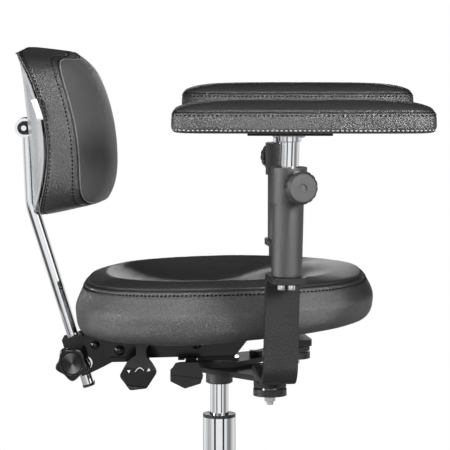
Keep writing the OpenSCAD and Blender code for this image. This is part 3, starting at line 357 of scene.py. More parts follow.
def curve_table(rows, count):
    """Rows of numbers drawn out to count rows along a smooth line that never overshoots (limited cubic)."""
    rows = np.array(rows, float)
    t = np.concatenate([[0], np.cumsum(np.maximum(np.linalg.norm(np.diff(rows, axis=0), axis=1), 1e-6))])
    out = np.linspace(0, t[-1], count)
    i = np.clip(np.searchsorted(t, out, side="right") - 1, 0, len(t) - 2)
    h = t[i + 1] - t[i]
    u = (out - t[i]) / h
    cols = []
    for y in rows.T:
        d = np.diff(y) / np.diff(t)
        lim = 3 * np.minimum(np.abs(np.concatenate([[d[0]], d])), np.abs(np.concatenate([d, [d[-1]]])))
        m = np.gradient(y, t)
        m = np.sign(m) * np.minimum(np.abs(m), lim)
        cols.append((2 * u ** 3 - 3 * u ** 2 + 1) * y[i] + (u ** 3 - 2 * u ** 2 + u) * h * m[i]
                    + (3 * u ** 2 - 2 * u ** 3) * y[i + 1] + (u ** 3 - u ** 2) * h * m[i + 1])
    return np.array(cols).T


def read_vectors(source, what):
    """All vectors of one kind ("co" or "normal") of a mesh's vertices, one row each."""
    values = np.empty(len(source) * 3)
    source.foreach_get(what, values)
    return values.reshape(-1, 3)


def coords(o):
    return read_vectors(o.data.vertices, "co")


def set_coords(o, co):
    o.data.vertices.foreach_set("co", co.ravel())
    o.data.update()


def store(o, name, values):
    """Keeps one number for each vertex, for the material to read."""
    a = o.data.attributes.new(name, "FLOAT", "POINT")
    a.data.foreach_set("value", np.array(values, np.float32))


def arc_lengths(line):
    return np.concatenate([[0], np.cumsum(np.linalg.norm(np.diff(line, axis=0), axis=1))])


def at_length(line, s, t):
    """The point (or, for an array t, the columns) of a polyline at arc length t."""
    return np.array([np.interp(t, s, line[:, k]) for k in range(3)])


def distances(points, line):
    """Distance from each point to a densely sampled polyline, and the arc length of the nearest sample."""
    tree = KDTree(len(line))
    for i, p in enumerate(line):
        tree.insert(p, i)
    tree.balance()
    arc = arc_lengths(line)
    d = np.empty(len(points))
    u = np.empty(len(points))
    for i, p in enumerate(points):
        _, k, dist = tree.find(p)
        d[i] = dist
        u[i] = arc[k]
    return d, u


CLOTH_FRAMES = 20
CLOTH_PRESSURE = 4.0


def blow_up(o, held, cap):
    """Cloth under pressure, held back near the given lines; no point moves further than cap."""
    start = coords(o)
    near = np.full(len(start), 1.0)
    for line, reach in held:
        near = np.minimum(near, distances(start, line)[0] / reach)
    group = o.vertex_groups.new(name="held")
    for i in np.nonzero(near < 1.0)[0]:
        group.add([int(i)], float(1.0 - 0.5 * near[i]), "REPLACE")
    cloth = o.modifiers.new("cloth", "CLOTH")
    s = cloth.settings
    s.quality = 4
    s.mass = 0.4
    s.tension_stiffness = s.compression_stiffness = 12
    s.shear_stiffness = 6
    s.bending_stiffness = 1.2
    s.use_pressure = True
    s.uniform_pressure_force = CLOTH_PRESSURE
    s.effector_weights.gravity = 0
    s.vertex_group_mass = "held"
    s.pin_stiffness = 1.5
    cloth.collision_settings.use_collision = False
    cloth.point_cache.frame_start = 1
    cloth.point_cache.frame_end = CLOTH_FRAMES
    for f in range(1, CLOTH_FRAMES + 1):
        scene.frame_set(f)
    blown = o.evaluated_get(bpy.context.evaluated_depsgraph_get())
    move = read_vectors(blown.to_mesh().vertices, "co") - start
    blown.to_mesh_clear()
    o.modifiers.clear()
    scene.frame_set(1)
    size = np.linalg.norm(move, axis=1)
    move *= np.minimum(1.0, cap / np.maximum(size, 1e-9))[:, None]
    set_coords(o, start + move)
    smooth = o.modifiers.new("smooth", "SMOOTH")
    smooth.factor = 0.5
    smooth.iterations = 3
    apply_modifiers(o)


def inflate(o, held, voxel, cap):
    mod = o.modifiers.new("remesh", "REMESH")
    mod.mode = "VOXEL"
    mod.voxel_size = voxel
    apply_modifiers(o)
    blow_up(o, held, cap)
    mod = o.modifiers.new("sub", "SUBSURF")
    mod.levels = 1
    apply_modifiers(o)


def snapped(o, line):
    """A polyline laid on the object's surface, with the surface normals."""
    bvh = BVHTree.FromObject(o, bpy.context.evaluated_depsgraph_get())
    out, normals = [], []
    for p in line:
        q, n, _, _ = bvh.find_nearest(Vector(p))
        out.append(np.array(q))
        normals.append(np.array(n))
    return np.array(out), np.array(normals)


def dense(ring, step=0.001):
    """A closed ring of points as a polyline with even, short steps."""
    line = np.array(ring)
    line = np.vstack([line, line[:1]])
    s = arc_lengths(line)
    return at_length(line, s, np.linspace(0, s[-1], max(8, int(s[-1] / step)))).T


FAR_FROM_SEAM = 0.05


def sew(o, seams, rows):
    """Presses seam lines and stitch rows into a finished cushion, and stores their distances for the material."""
    co = coords(o)
    normals = read_vectors(o.data.vertices, "normal")
    d_seam = np.full(len(co), FAR_FROM_SEAM)
    d_row = np.full(len(co), FAR_FROM_SEAM)
    u = np.zeros(len(co))
    push = np.zeros(len(co))
    for line, depth, width in seams:
        d, _ = distances(co, line)
        d_seam = np.minimum(d_seam, d)
        push = np.maximum(push, depth * np.exp(-(d / width) ** 2))
    for line, depth, width in rows:
        d, a = distances(co, line)
        u = np.where(d < d_row, a, u)
        d_row = np.minimum(d_row, d)
        push = np.maximum(push, depth * np.exp(-(d / width) ** 2))
    set_coords(o, co - normals * push[:, None])
    for name, values in (("seam_d", d_seam), ("stitch_d", d_row), ("seam_u", u)):
        store(o, name, values * 1000)


# One stitch: place along it and thickness, as shares of its half length and radius; and sides round it
STITCH_PROFILE = ((-1.0, 0.15), (-0.82, 0.8), (-0.4, 1.0), (0.4, 1.0), (0.82, 0.8), (1.0, 0.15))
STITCH_SIDES = 6


def stitches(name, o, line, body, material="thread", pitch=0.006, length=0.0040, r=0.0009, lift=0.0):
    """A row of thread stitches lying on a cushion along a line."""
    pts, normals = snapped(o, line)
    s = arc_lengths(pts)
    verts, faces = [], []
    for i in range(int(s[-1] / pitch)):
        t = (i + 0.5) * pitch
        p = at_length(pts, s, t)
        n = at_length(normals, s, t)
        a = at_length(pts, s, min(t + 0.001, s[-1])) - p
        if np.linalg.norm(a) < 1e-7:
            continue
        a /= np.linalg.norm(a)
        n -= a * n.dot(a)
        n /= max(np.linalg.norm(n), 1e-9)
        b = np.cross(a, n)
        at = len(verts)
        for f, w in STITCH_PROFILE:
            for k in range(STITCH_SIDES):
                c = math.pi * k / 3
                up = lift + w * r * math.sin(c) - (1 - w) * r
                verts.append(p + a * (f * length / 2) + n * up + b * (w * r * math.cos(c)))
        for g in range(len(STITCH_PROFILE) - 1):
            low = at + g * STITCH_SIDES
            high = low + STITCH_SIDES
            for k in range(STITCH_SIDES):
                m = (k + 1) % STITCH_SIDES
                faces.append((low + k, low + m, high + m, high + k))
        faces.append(tuple(at + k for k in range(STITCH_SIDES - 1, -1, -1)))
        faces.append(tuple(high + k for k in range(STITCH_SIDES)))
    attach(mesh_object(name, verts, faces, material), body)


# Seat cushion, in millimetres: half depth, half width, squareness and middle of its outline
SEAT_A, SEAT_B, SEAT_N, SEAT_X = 226.5, 205.0, 2.7, 8.0
SEAT_Z = 495  # the flat rear half of its underside
SEAT_RISE, SEAT_RISE_X = 26, -45  # how far the front rises, and where that begins
SEAT_RECESS = 5.8  # how far the middle of the underside lies up inside
TOP_SHARE = 0.80  # of the outline: inside it lies the top panel's hollow, outside it the bolster


def seat_low(x):
    return SEAT_Z + SEAT_RISE * max(0, x - SEAT_RISE_X) / (SEAT_A + SEAT_X - SEAT_RISE_X)


def seat_seam(x):
    return 567 + 0.026 * (x - SEAT_X + SEAT_A)


def eased(x, start, length):
    """0 before start, 1 after start + length, and a smooth step between them."""
    t = min(1.0, max(0.0, (x - start) / length))
    return t * t * (3 - 2 * t)


def seat_top(x, y, share):
    """Height over the seam of the top panel: a bolster round the rim, a hollow behind, a raised front."""
    front = eased(x, -25, 175)
    rim = 8 - 2.5 * front
    if share > TOP_SHARE:
        return rim * (1 - min(1.0, (share - TOP_SHARE) / 0.125) ** 2.2)
    hollow = -19 + 13 * front + 15 * math.exp(-(y / (46 + 22 * front)) ** 2) * eased(x, -5, 120)
    w = min(1.0, share / TOP_SHARE) ** 3.0
    return hollow * (1 - w) + rim * w


def seat_ring(angles, share, height):
    """A ring at a share of the seat's outline, with its height from a function of x and y."""
    ring = []
    for t in angles:
        x, y = oval(SEAT_A, SEAT_B, SEAT_N, t)
        x, y = x * share + SEAT_X, y * share
        ring.append((x * MM, y * MM, height(x, y) * MM))
    return ring


# The side from the recess below to the top seam: share of the outline, share of the height, rise
SEAT_SIDE = [
    (0.79, 0.0, SEAT_RECESS), (0.81, 0.0, 0.0), (0.85, 0.0, -4.5), (0.90, 0.0, -6.5), (0.945, 0.0, -5.0),
    (0.975, 0.04, -2.0), (0.994, 0.16, 0), (1.0, 0.34, 0), (0.998, 0.50, 0), (0.990, 0.66, 0), (0.974, 0.83, 0),
    (0.950, 0.95, 0), (0.926, 1.0, 0)]
SEAT_ROW_SHARE, SEAT_ROW_DROP = 0.957, 6.5


def make_seat():
    angles = even_angles(SEAT_A, SEAT_B, SEAT_N, 220)
    sides = [seat_ring(angles, share, lambda x, y: seat_low(x) * (1 - up) + seat_seam(x) * up + rise)
             for share, up, rise in curve_table(SEAT_SIDE, 38)]
    tops = [seat_ring(angles, share, lambda x, y: seat_seam(x) + seat_top(x, y, share))
            for share in np.concatenate([np.linspace(0.918, TOP_SHARE, 10), np.linspace(0.78, 0.05, 26)])]
    x = SEAT_X
    seat = lofted("seat_cover", sides + tops, (x * MM, 0, (seat_low(x) + SEAT_RECESS) * MM),
                  (x * MM, 0, (seat_seam(x) + seat_top(x, 0, 0)) * MM), "leather")
    seam, base, recess = dense(sides[-1]), dense(sides[3]), dense(sides[0])
    inflate(seat, [(seam, 0.007), (base, 0.012), (recess, 0.02)], voxel=0.0046, cap=0.005)
    row = dense(seat_ring(angles, SEAT_ROW_SHARE, lambda x, y: seat_seam(x) - SEAT_ROW_DROP))
    seam, _ = snapped(seat, seam)
    row, _ = snapped(seat, row)
    sew(seat, [(seam, 0.0016, 0.0024)], [(row, 0.0007, 0.0022)])
    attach(seat, "tilting_seat")
    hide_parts("seat_cushion")
    stitches("seat_stitches", seat, row, "tilting_seat", pitch=0.0062, length=0.0048, r=0.0013)


make_seat()


# Backrest, in millimetres: its rear's distance behind the lift, how far the top sweeps back, half width,
# half height, height of its middle and squareness
BACK_X, BACK_SWEEP, BACK_A, BACK_B, BACK_Z, BACK_N = 250.0, 43.0, 180.0, 123.5, 793.5, 5.0
BACK_DIP = 15.0  # how far the front panel's upper seam dips in the middle
PANEL_UP = 9  # how far the front panel's middle lies over the backrest's
BACK_SIDE = [(0.0, 0.962), (0.02, 0.980), (0.06, 0.992), (0.14, 1.0), (0.3, 1.003), (0.6, 1.001), (0.85, 0.999),
             (1.0, 0.998)]


def back_share(t):
    return 1 - (t / BACK_A) ** 2


def rim_x(s):
    return -BACK_X - BACK_SWEEP * ((s + 22) / (BACK_B + 22)) ** 2


def rear_x(t, s):
    mid = -262 - BACK_SWEEP * (max(0, s - 38) / (BACK_B - 38)) ** 2
    return rim_x(s) * (1 - back_share(t)) + mid * back_share(t)


def seam_x(t, s):
    """The front is fullest below its middle."""
    return -204.5 - 1.29e-3 * (s + 52.5) ** 2 - 6 * (max(0, s - 95) / 25) ** 2 + 39 * back_share(t)


def rim_point(a, share):
    """A point of the flat rear, which lies against the shell."""
    t, s = oval(BACK_A, BACK_B, BACK_N, a)
    t, s = t * share, s * share
    clear = 3 * min(1.0, (1 - share) / 0.06)
    return np.array([rear_x(t, s) + clear, t, BACK_Z + s])


def seam_point(a, share):
    """A point of the front panel; share 1 is its seam."""
    t, s = oval(BACK_A, BACK_B, BACK_N + 1.5 * share, a)
    t, s = t * 0.975 * share, s * (0.915 if s > 0 else 0.92) * share
    dip = BACK_DIP * back_share(t) * max(0, s) / BACK_B
    edge = 1 - share ** 6
    return np.array([seam_x(t, s + PANEL_UP) + 11 * edge, t, BACK_Z + PANEL_UP + s - dip])


def blended(a, share, out):
    """A point of the side band, from the rear's rim (0) to the front's seam (1)."""
    p = rim_point(a, 1) * (1 - share) + seam_point(a, 1) * share
    return np.array([p[0], p[1] * max(out, 0.99), BACK_Z + (p[2] - BACK_Z) * out])


BACK_ANGLES = even_angles(BACK_A, BACK_B, BACK_N, 200)


def back_ring(point, *at):
    return [point(a, *at) * MM for a in BACK_ANGLES]


def mark_panel(o):
    """Stores which points lie on the front panel, inside its seam."""
    values = []
    for x, t, z in coords(o) / MM:
        s = z - BACK_Z - PANEL_UP
        if s > 0:
            s /= 1 - BACK_DIP * back_share(t) / BACK_B
        values.append(min(1.0, max(0.0, x - seam_x(t, s + PANEL_UP) - 0.3)))
    store(o, "panel", values)


def make_back():
    rings = [back_ring(rim_point, s) for s in np.concatenate([np.linspace(0.06, 0.9, 16), [0.93, 0.955, 0.972]])]
    rings += [back_ring(blended, share, out) for share, out in curve_table(BACK_SIDE, 16)]
    rings += [back_ring(seam_point, s)
              for s in np.concatenate([[0.988, 0.97, 0.945, 0.91, 0.87], np.linspace(0.83, 0.05, 20)])]
    back = lofted("back_cover", rings, np.array([rear_x(0, 0), 0, BACK_Z]) * MM, seam_point(0, 0) * MM, "leather")
    front = dense(back_ring(seam_point, 1))
    rear = dense(back_ring(blended, 0.13, 1.0))
    front_row = dense(back_ring(blended, 0.82, 1.0))
    border = dense(back_ring(rim_point, 0.955))
    inflate(back, [(front, 0.006), (rear, 0.008), (border, 0.02)], voxel=0.0038, cap=0.005)
    front, _ = snapped(back, front)
    rear, _ = snapped(back, rear)
    front_row, _ = snapped(back, front_row)
    sew(back, [(front, 0.0012, 0.0016)], [(front_row, 0.0007, 0.0022), (rear, 0.0007, 0.0022)])
    mark_panel(back)
    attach(back, "backrest")
    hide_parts("back_cushion")
    stitches("back_stitches_front", back, front_row, "backrest")
    stitches("back_stitches_rear", back, rear, "backrest")
    return back


def tube(name, line, r, material, sides=8):
    """A thin round cord along a closed line."""
    line = np.array(line)[:-1]
    ahead = np.roll(line, -1, axis=0) - np.roll(line, 1, axis=0)
    ahead /= np.linalg.norm(ahead, axis=1)[:, None]
    out = line - line.mean(axis=0)
    side = out - ahead * (out * ahead).sum(axis=1)[:, None]
    side /= np.linalg.norm(side, axis=1)[:, None]
    up = np.cross(ahead, side)
    turns = [2 * math.pi * k / sides for k in range(sides)]
    verts = [p + r * (math.cos(c) * a + math.sin(c) * b) for p, a, b in zip(line, side, up) for c in turns]
    faces = []
    for i in range(len(line)):
        a, b = i * sides, (i + 1) % len(line) * sides
        faces += [(a + k, a + (k + 1) % sides, b + (k + 1) % sides, b + k) for k in range(sides)]
    return mesh_object(name, verts, faces, material)


TAG_Z, TAG_Y, TAG_DEPTH = 833.7, -181.6, -0.5
TAG_CORNERS = (0, 14.5), (9.5, 16.5), (11.5, -13.5), (2.5, -16)
TAG_ROWS, TAG_COLS = 6, 3


def make_tag():
    """A bare cloth tag, sewn in at the right edge, that follows the cover's sweep."""
    top_left, top_right, low_right, low_left = (Vector(c) for c in TAG_CORNERS)
    verts, wide = [], TAG_COLS + 1
    for depth in (0.0, TAG_DEPTH):
        for i in range(TAG_ROWS + 1):
            t = i / TAG_ROWS
            left, right = top_left.lerp(low_left, t), top_right.lerp(low_right, t)
            for k in range(wide):
                u, z = left.lerp(right, k / TAG_COLS)
                x = rim_x(TAG_Z + z - BACK_Z) - 9.4 + u
                y = TAG_Y + depth - 1.2 * math.sin(math.pi * t) * k / TAG_COLS
                verts.append((x * MM, y * MM, (TAG_Z + z) * MM))
    m = len(verts) // 2
    faces = []
    for q in (0, m):
        for i in range(TAG_ROWS):
            for k in range(TAG_COLS):
                a = q + i * wide + k
                faces.append((a, a + 1, a + wide + 1, a + wide))
    last = wide * TAG_ROWS
    ring = list(range(wide)) + list(range(wide + TAG_COLS, last + wide, wide))
    ring += list(range(last + TAG_COLS - 1, last - 1, -1)) + list(range(last - wide, 0, -wide))
    faces += [(a, b, b + m, a + m) for a, b in zip(ring, ring[1:] + ring[:1])]
    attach(mesh_object("back_tag", verts, faces, "tag"), "backrest")


def make_binding(back):
    """The cover's turned-over edge at the shell, a light cord along its front seam that is a painted highlight of the
    seam's fold, and the tag on the right.
    """
    for k, at in enumerate(((0.015, 0.977), (0.06, 0.993))):
        line, _ = snapped(back, dense(back_ring(blended, *at), 0.004))
        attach(tube("back_binding_%d" % (k + 1), line, 0.0012, "binding"), "backrest")
    # Painted highlight: a light grey cord along the front seam stands in for the shine on the seam's folded edge.
    line, _ = snapped(back, dense(back_ring(seam_point, 0.988), 0.003))
    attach(tube("back_seam_highlight_cord", line, 0.0008, "painted_seam_highlight"), "backrest")
    # Stitches whose pale grey colour is a painted sheen on the binding's thread row.
    edge, _ = snapped(back, dense(back_ring(blended, 0.037, 0.986)))
    stitches("back_edge_stitches", back, edge, "backrest", material="thread_painted_sheen", pitch=0.0032, length=0.0026,
             r=0.0008, lift=0.0004)
    make_tag()


make_binding(make_back())


# Arm pads, in millimetres: half length, half width, squareness and height of the crown
PAD_A, PAD_B, PAD_N, PAD_H = 186.5, 58.0, 7.0, 43.3
PAD_SEAM = (0.990, 0.972, 31.0)
# Share of the length, share of the width, height
PAD_UNDER = [(0.5, 0.4, 0.0), (0.8, 0.7, 0.0)]
PAD_SIDE = [(0.955, 0.86, 0.0), (0.978, 0.93, 0.0), (0.992, 0.975, 1.0), (1.0, 1.0, 5.0), (1.0, 1.0, 12.0),
            (0.998, 0.995, 20), (0.996, 0.990, 27.5), PAD_SEAM]
PAD_TOP = [PAD_SEAM, (0.968, 0.93, 33.2), (0.93, 0.87, 35.9), (0.86, 0.75, 39.3), (0.76, 0.60, 41.7),
           (0.60, 0.38, 43.0), (0.30, 0.12, PAD_H)]


def make_pad(side):
    name, node_name, body = side + "_pad_cover", side + "_pad", side + "_rest"
    lo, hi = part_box(node_name)
    cx, cy = (lo[0] + hi[0]) / 2 / MM, (lo[1] + hi[1]) / 2 / MM
    z0 = lo[2] / MM
    outline = [oval(PAD_A, PAD_B, PAD_N, t) for t in even_angles(PAD_A, PAD_B, PAD_N, 240)]

    def ring(u, v, z):
        return [((cx + x * u) * MM, (cy + y * v) * MM, (z0 + z) * MM) for x, y in outline]

    rows = PAD_UNDER + list(curve_table(PAD_SIDE, 20)) + list(curve_table(PAD_TOP, 26))[1:]
    o = lofted(name, [ring(*r) for r in rows], (cx * MM, cy * MM, z0 * MM), (cx * MM, cy * MM, (z0 + PAD_H) * MM),
               "leather")
    seam = dense(ring(*PAD_SEAM))
    row = dense(ring(0.997, 0.992, 25.8))
    low = dense(ring(0.999, 0.998, 4.5))
    under = dense(ring(0.9, 0.78, 0.0))
    inflate(o, [(seam, 0.006), (low, 0.006), (under, 0.02)], voxel=0.0036, cap=0.0035)
    seam, _ = snapped(o, seam)
    row, _ = snapped(o, row)
    low, _ = snapped(o, low)
    sew(o, [(seam, 0.0012, 0.002)], [(row, 0.0006, 0.002), (low, 0.0006, 0.002)])
    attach(o, body)
    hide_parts(node_name)
    stitches(name + "_stitches", o, row, body, pitch=0.0065)
    # The lower row's light grey thread is a painted highlight.
    stitches(name + "_lower_stitches", o, low, body, material="thread_painted_highlight", pitch=0.0065)


for side in ("right", "left"):
    make_pad(side)


# Rigid pieces finer than their solids
def rounded(points, r, steps=5):
    """A closed outline with its corners rounded, with one radius for each corner."""
    pts = [Vector(p) for p in points]
    out = []
    for i, p in enumerate(pts):
        a, b = (pts[i - 1] - p), (pts[(i + 1) % len(pts)] - p)
        half = a.angle(b) / 2
        cut = min(r[i] / math.tan(half), 0.45 * a.length, 0.45 * b.length)
        p0, p1 = p + a.normalized() * cut, p + b.normalized() * cut
        for k in range(steps + 1):
            t = k / steps
            out.append((p0 * (1 - t) + p * t) * (1 - t) + (p * (1 - t) + p1 * t) * t)
    return out


def weighted_normals(o):
    return o.modifiers.new("normals", "WEIGHTED_NORMAL")


def bevelled(o, width, angle=35):
    mod = o.modifiers.new("bevel", "BEVEL")
    mod.width = width
    mod.segments = 3
    mod.limit_method = "ANGLE"
    mod.angle_limit = math.radians(angle)
    apply_modifiers(o)
    o.data.shade_smooth()
    weighted_normals(o).keep_sharp = True


def slab(name, outline, depth, place, material, bevel=0.0):
    """A flat piece: an outline in millimetres, drawn in the place matrix's X and Y and depth thick along its Z."""
    n = len(outline)
    verts = [place @ Vector((p[0] * MM, p[1] * MM, z * MM)) for z in (0, depth) for p in outline]
    faces = [tuple(range(n - 1, -1, -1)), tuple(range(n, 2 * n))]
    faces += [(i, (i + 1) % n, n + (i + 1) % n, n + i) for i in range(n)]
    o = mesh_object(name, verts, faces, material, smooth=False)
    if bevel:
        bevelled(o, bevel)
    return o


def turned(name, profile, place, material, count=48, lobes=None):
    """A body of rotation about the place matrix's Z, from (radius, height) in millimetres; lobes may scale it."""
    n = count
    verts = []
    for r, z in profile:
        for k in range(n):
            a = 2 * math.pi * k / n
            q = lobes(a, r) if lobes else r
            verts.append(place @ Vector((q * math.cos(a) * MM, q * math.sin(a) * MM, z * MM)))
    end = (len(profile) - 1) * n
    faces = [(i + j, i + (j + 1) % n, i + n + (j + 1) % n, i + n + j) for i in range(0, end, n) for j in range(n)]
    faces += [tuple(range(n - 1, -1, -1)), tuple(range(end, end + n))]
    o = mesh_object(name, verts, faces, material)
    weighted_normals(o)
    return o


def frame_at(origin, z_axis, x_axis=(1, 0, 0)):
    z = Vector(z_axis).normalized()
    y = z.cross(Vector(x_axis)).normalized()
    x = y.cross(z)
    return Matrix([(x[i], y[i], z[i], origin[i]) for i in range(3)] + [(0, 0, 0, 1)])


def facing_right(y):
    """Place for a slab drawn in X and Z, whose depth goes back from y (millimetres) towards +Y."""
    return Matrix(((1, 0, 0, 0), (0, 0, 1, y * MM), (0, 1, 0, 0), (0, 0, 0, 1)))


FOLD_TILT = 0.12  # how far the fold line drops for each millimetre forward


def folded_back(o, y, z_line, slope):
    """Folds the front face of a lever's paddle back below a height."""
    bm = bmesh.new()
    bm.from_mesh(o.data)
    bmesh.ops.bisect_plane(bm, geom=bm.verts[:] + bm.edges[:] + bm.faces[:], plane_co=(0, 0, z_line * MM),
                           plane_no=(FOLD_TILT, 0, 1))
    for v in bm.verts:
        below = z_line * MM - v.co.z - FOLD_TILT * v.co.x
        if below > 0 and v.co.y < (y + 5) * MM:
            v.co.y += below * slope
    bm.to_mesh(o.data)
    bm.free()


PADDLE_BEVEL, PADDLE_BEVEL_ANGLE = 0.0022, 12
TILT_X, TILT_Z, TILT_Y = -115.0, 477.0, -122.0
# Corners in X and Z from the tilt lever's axis, each with its radius
TILT_CORNERS = [(-11, 8, 2), (-6.4, -3, 14), (-6.6, -11, 5), (-20, -21, 22), (-32.5, -43.5, 8), (-16.8, -66, 6),
                (8.4, -62.8, 6), (24.4, -36.6, 8), (17, -24, 22), (8.5, -13, 5), (7.6, -4, 14), (14, 8, 2)]
TILT_MARKS = [[(-20.5, -34), (-15.5, -33.4), (-17.6, -38.2)], [(9, -35.2), (14, -34.6), (12.2, -30.4)]]
# Corners in X and Z, each with its radius
HEIGHT_CORNERS = [(-57, 451, 6), (-64.5, 449.5, 5), (-72, 437, 5), (-72, 423.5, 5), (-52, 413.2, 4),
                  (-46.5, 413.2, 4), (-29, 422, 4), (-23.3, 426.5, 4), (-24, 435, 5), (-30, 452, 6)]
HEIGHT_Y = -98.6


def make_paddle(name, corners, depth, y, fold_z, slope, body):
    outline = rounded([c[:2] for c in corners], [c[2] for c in corners])
    o = slab(name, outline, depth, facing_right(y), "plastic")
    folded_back(o, y, fold_z, slope)
    bevelled(o, PADDLE_BEVEL, PADDLE_BEVEL_ANGLE)
    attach(o, body)
    return o


def make_tilt_lever():
    corners = [(TILT_X + x, TILT_Z + z, r) for x, z, r in TILT_CORNERS]
    o = make_paddle("tilt_paddle", corners, 10, TILT_Y, TILT_Z - 46, 0.35, "tilt_lever_body")
    hub = turned("tilt_lever_hub", [(5.5, 0), (7.2, 0.6), (7.8, 2), (7.8, 62), (11, 66), (12, 68), (12, 76)],
                 frame_at((TILT_X * MM, (TILT_Y + 3) * MM, TILT_Z * MM), (0, 1, 0)), "plastic", 40)
    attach(hub, "tilt_lever_body")
    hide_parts("tilt_lever")
    bow = [(-8.5 + 13 * t, -35.5 + 5 * math.sin(math.pi * t) + 2 * t) for t in np.linspace(0, 1, 9)]
    bow += [(x, z - 1.3) for x, z in reversed(bow)]
    for k, m in enumerate(TILT_MARKS + [bow]):
        t = slab("tilt_mark_%d" % (k + 1), [(TILT_X + x, TILT_Z + z) for x, z in m], 0.4,
                 facing_right(TILT_Y - 0.25), "white_print")
        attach(t, "tilt_lever_body")


def star_lobes(a, r):
    """The knob's five lobes; the waves fade towards the middle of its face."""
    wave = 0.5 - 0.5 * math.cos(5 * (a + math.pi / 2))
    return r - 5.6 * max(0.0, (r - 17.5) / 9.5) * wave ** 0.8


# Radius and height along the knob's axis
STAR_PROFILE = [(4, 20), (4, 42.6), (11, 42.8), (22, 43), (25.6, 43.6), (26.7, 45), (27, 47), (27, 54.5),
                (26.6, 56.6), (25.6, 58), (24, 58.8), (21.5, 59), (18, 59), (17.2, 58.9), (16.7, 58.5),
                (16.4, 57.8), (16.2, 56)]
INSET_PROFILE = [(16.3, 55.5), (16.2, 57.6), (15.6, 58.2), (14.8, 58.2), (13.9, 57.9), (7, 56.7), (0.6, 56.0)]


def make_star_knob():
    place = frame_at(KNOB_FROM, KNOB_AXIS)
    o = turned("star_knob_body", STAR_PROFILE, place, "bolt", 120, star_lobes)
    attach(o, "star")
    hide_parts("star_knob")
    face = turned("star_knob_face", INSET_PROFILE, place, "spun_with_painted_fans", 96)
    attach(face, "star")
    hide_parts("knob_inset")


RIGHT_TURN, REACH, BAR_T = math.radians(-80.5), 117.0, 10.0
RIGHT_PIVOT, RIGHT_FOOT, RIGHT_LEAN = Vector((76.5, -170, 0)), 449.0, math.radians(1.3)
UPRIGHT = REACH - 35  # from the pivot to the upright's inner face
FOOT_DIP, BEND_R = -3.6, 24.0
TAB_Z, TAB_FAR, TAB_HALF_W = 146, 152, 25


def right_arm_place():
    """Frame of the right upright: X along the bracket from its pivot, Z up, leaning about the foot's far end."""
    c, s = math.cos(RIGHT_TURN), math.sin(RIGHT_TURN)
    root = RIGHT_PIVOT + Vector((UPRIGHT * c, UPRIGHT * s, RIGHT_FOOT + BAR_T))
    return (Matrix.Translation(root) @ Matrix.Rotation(RIGHT_LEAN, 4, "Y") @ Matrix.Rotation(RIGHT_TURN, 4, "Z")
            @ Matrix.Translation((-UPRIGHT, 0, -BAR_T)))


def make_right_bracket():
    """A bar bent up from a foot that dips before the bend, with rounded ends, and the tab that carries the tube."""
    arm = right_arm_place()
    middle = UPRIGHT + BAR_T / 2
    centre = [(-24, 5), (-20, 5), (-10, 5), (15, 5), (26, 3.4), (38, -0.8), (50, -3), (60, FOOT_DIP)]
    centre += [(middle - BEND_R + BEND_R * math.sin(a), FOOT_DIP + BEND_R - BEND_R * math.cos(a))
               for a in np.linspace(0.15, math.pi / 2, 12)]
    centre += [(middle, z) for z in (40, 80, 120, 147)]
    half_w = [14, 20.5, 24.6] + [25.0] * (len(centre) - 3)
    verts, faces = [], []
    foot = Matrix.Translation(RIGHT_PIVOT + Vector((0, 0, RIGHT_FOOT))) @ Matrix.Rotation(RIGHT_TURN, 4, "Z")
    for i, (u, z) in enumerate(centre):
        a = Vector(centre[max(i - 1, 0)])
        b = Vector(centre[min(i + 1, len(centre) - 1)])
        d = (b - a).normalized()
        n = Vector((-d.y, d.x)) * BAR_T / 2
        share = min(1.0, max(0.0, (z - FOOT_DIP) / 20)) if u > 60 else 0.0
        for side in (-1, 1):
            for w in (-1, 1):
                local = Vector((u + side * n.x, w * half_w[i], z + side * n.y))
                verts.append(((foot @ local) * (1 - share) + (arm @ local) * share) * MM)
    last = len(verts) - 4
    for i in range(0, last, 4):
        faces += [(i + j, i + k, i + 4 + k, i + 4 + j) for j, k in ((0, 1), (1, 3), (3, 2), (2, 0))]
    faces += [(0, 1, 3, 2), (last, last + 1, last + 3, last + 2)]
    o = mesh_object("right_bent_bar", verts, faces, "paint", smooth=False)
    bevelled(o, 0.0012, 50)
    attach(o, "right_arm")
    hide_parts("right_bracket")
    place = arm.copy()
    place.translation = (arm @ Vector((0, 0, TAB_Z))) * MM
    corners = [(UPRIGHT, -TAB_HALF_W), (TAB_FAR, -TAB_HALF_W), (TAB_FAR, TAB_HALF_W), (UPRIGHT, TAB_HALF_W)]
    tab = slab("right_tab", rounded(corners, [2, 14, 14, 2], 7), 10, place, "paint", bevel=0.0013)
    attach(tab, "right_arm")
    spacer = turned("right_spacer", [(15.6, 435.3), (16.4, 436), (16.4, 449.5)],
                    frame_at(RIGHT_PIVOT * MM, (0, 0, 1)), "paint")
    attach(spacer, "right_arm")


# Radius and height
TAB_SCREW = [(3.2, 0), (5.3, 0.2), (5.5, 0.8), (5.5, 7.2), (5.0, 8.0), (3.2, 8.0), (2.9, 7.6), (2.8, 4.2), (0.4, 3.9)]
TAB_SCREW_Z, TAB_SCREW_HALF_PITCH = 143.5, 7.25
SLEEVE = [(15.2, -0.3), (15.9, 0), (16.1, 1), (16.1, 7.6), (16.6, 8.6), (17.6, 10.2)]
PAD_SCREW = [(1.5, 6.2), (3.2, 6.6), (4.6, 7.6), (5.2, 9.2), (5.2, 10.4)]
PAD_SCREW_X, PAD_SCREW_Y = (-20, 17), -12
RIGHT_SOCKET_X = 0.10345  # the right post leans, so its box's middle isn't the socket's


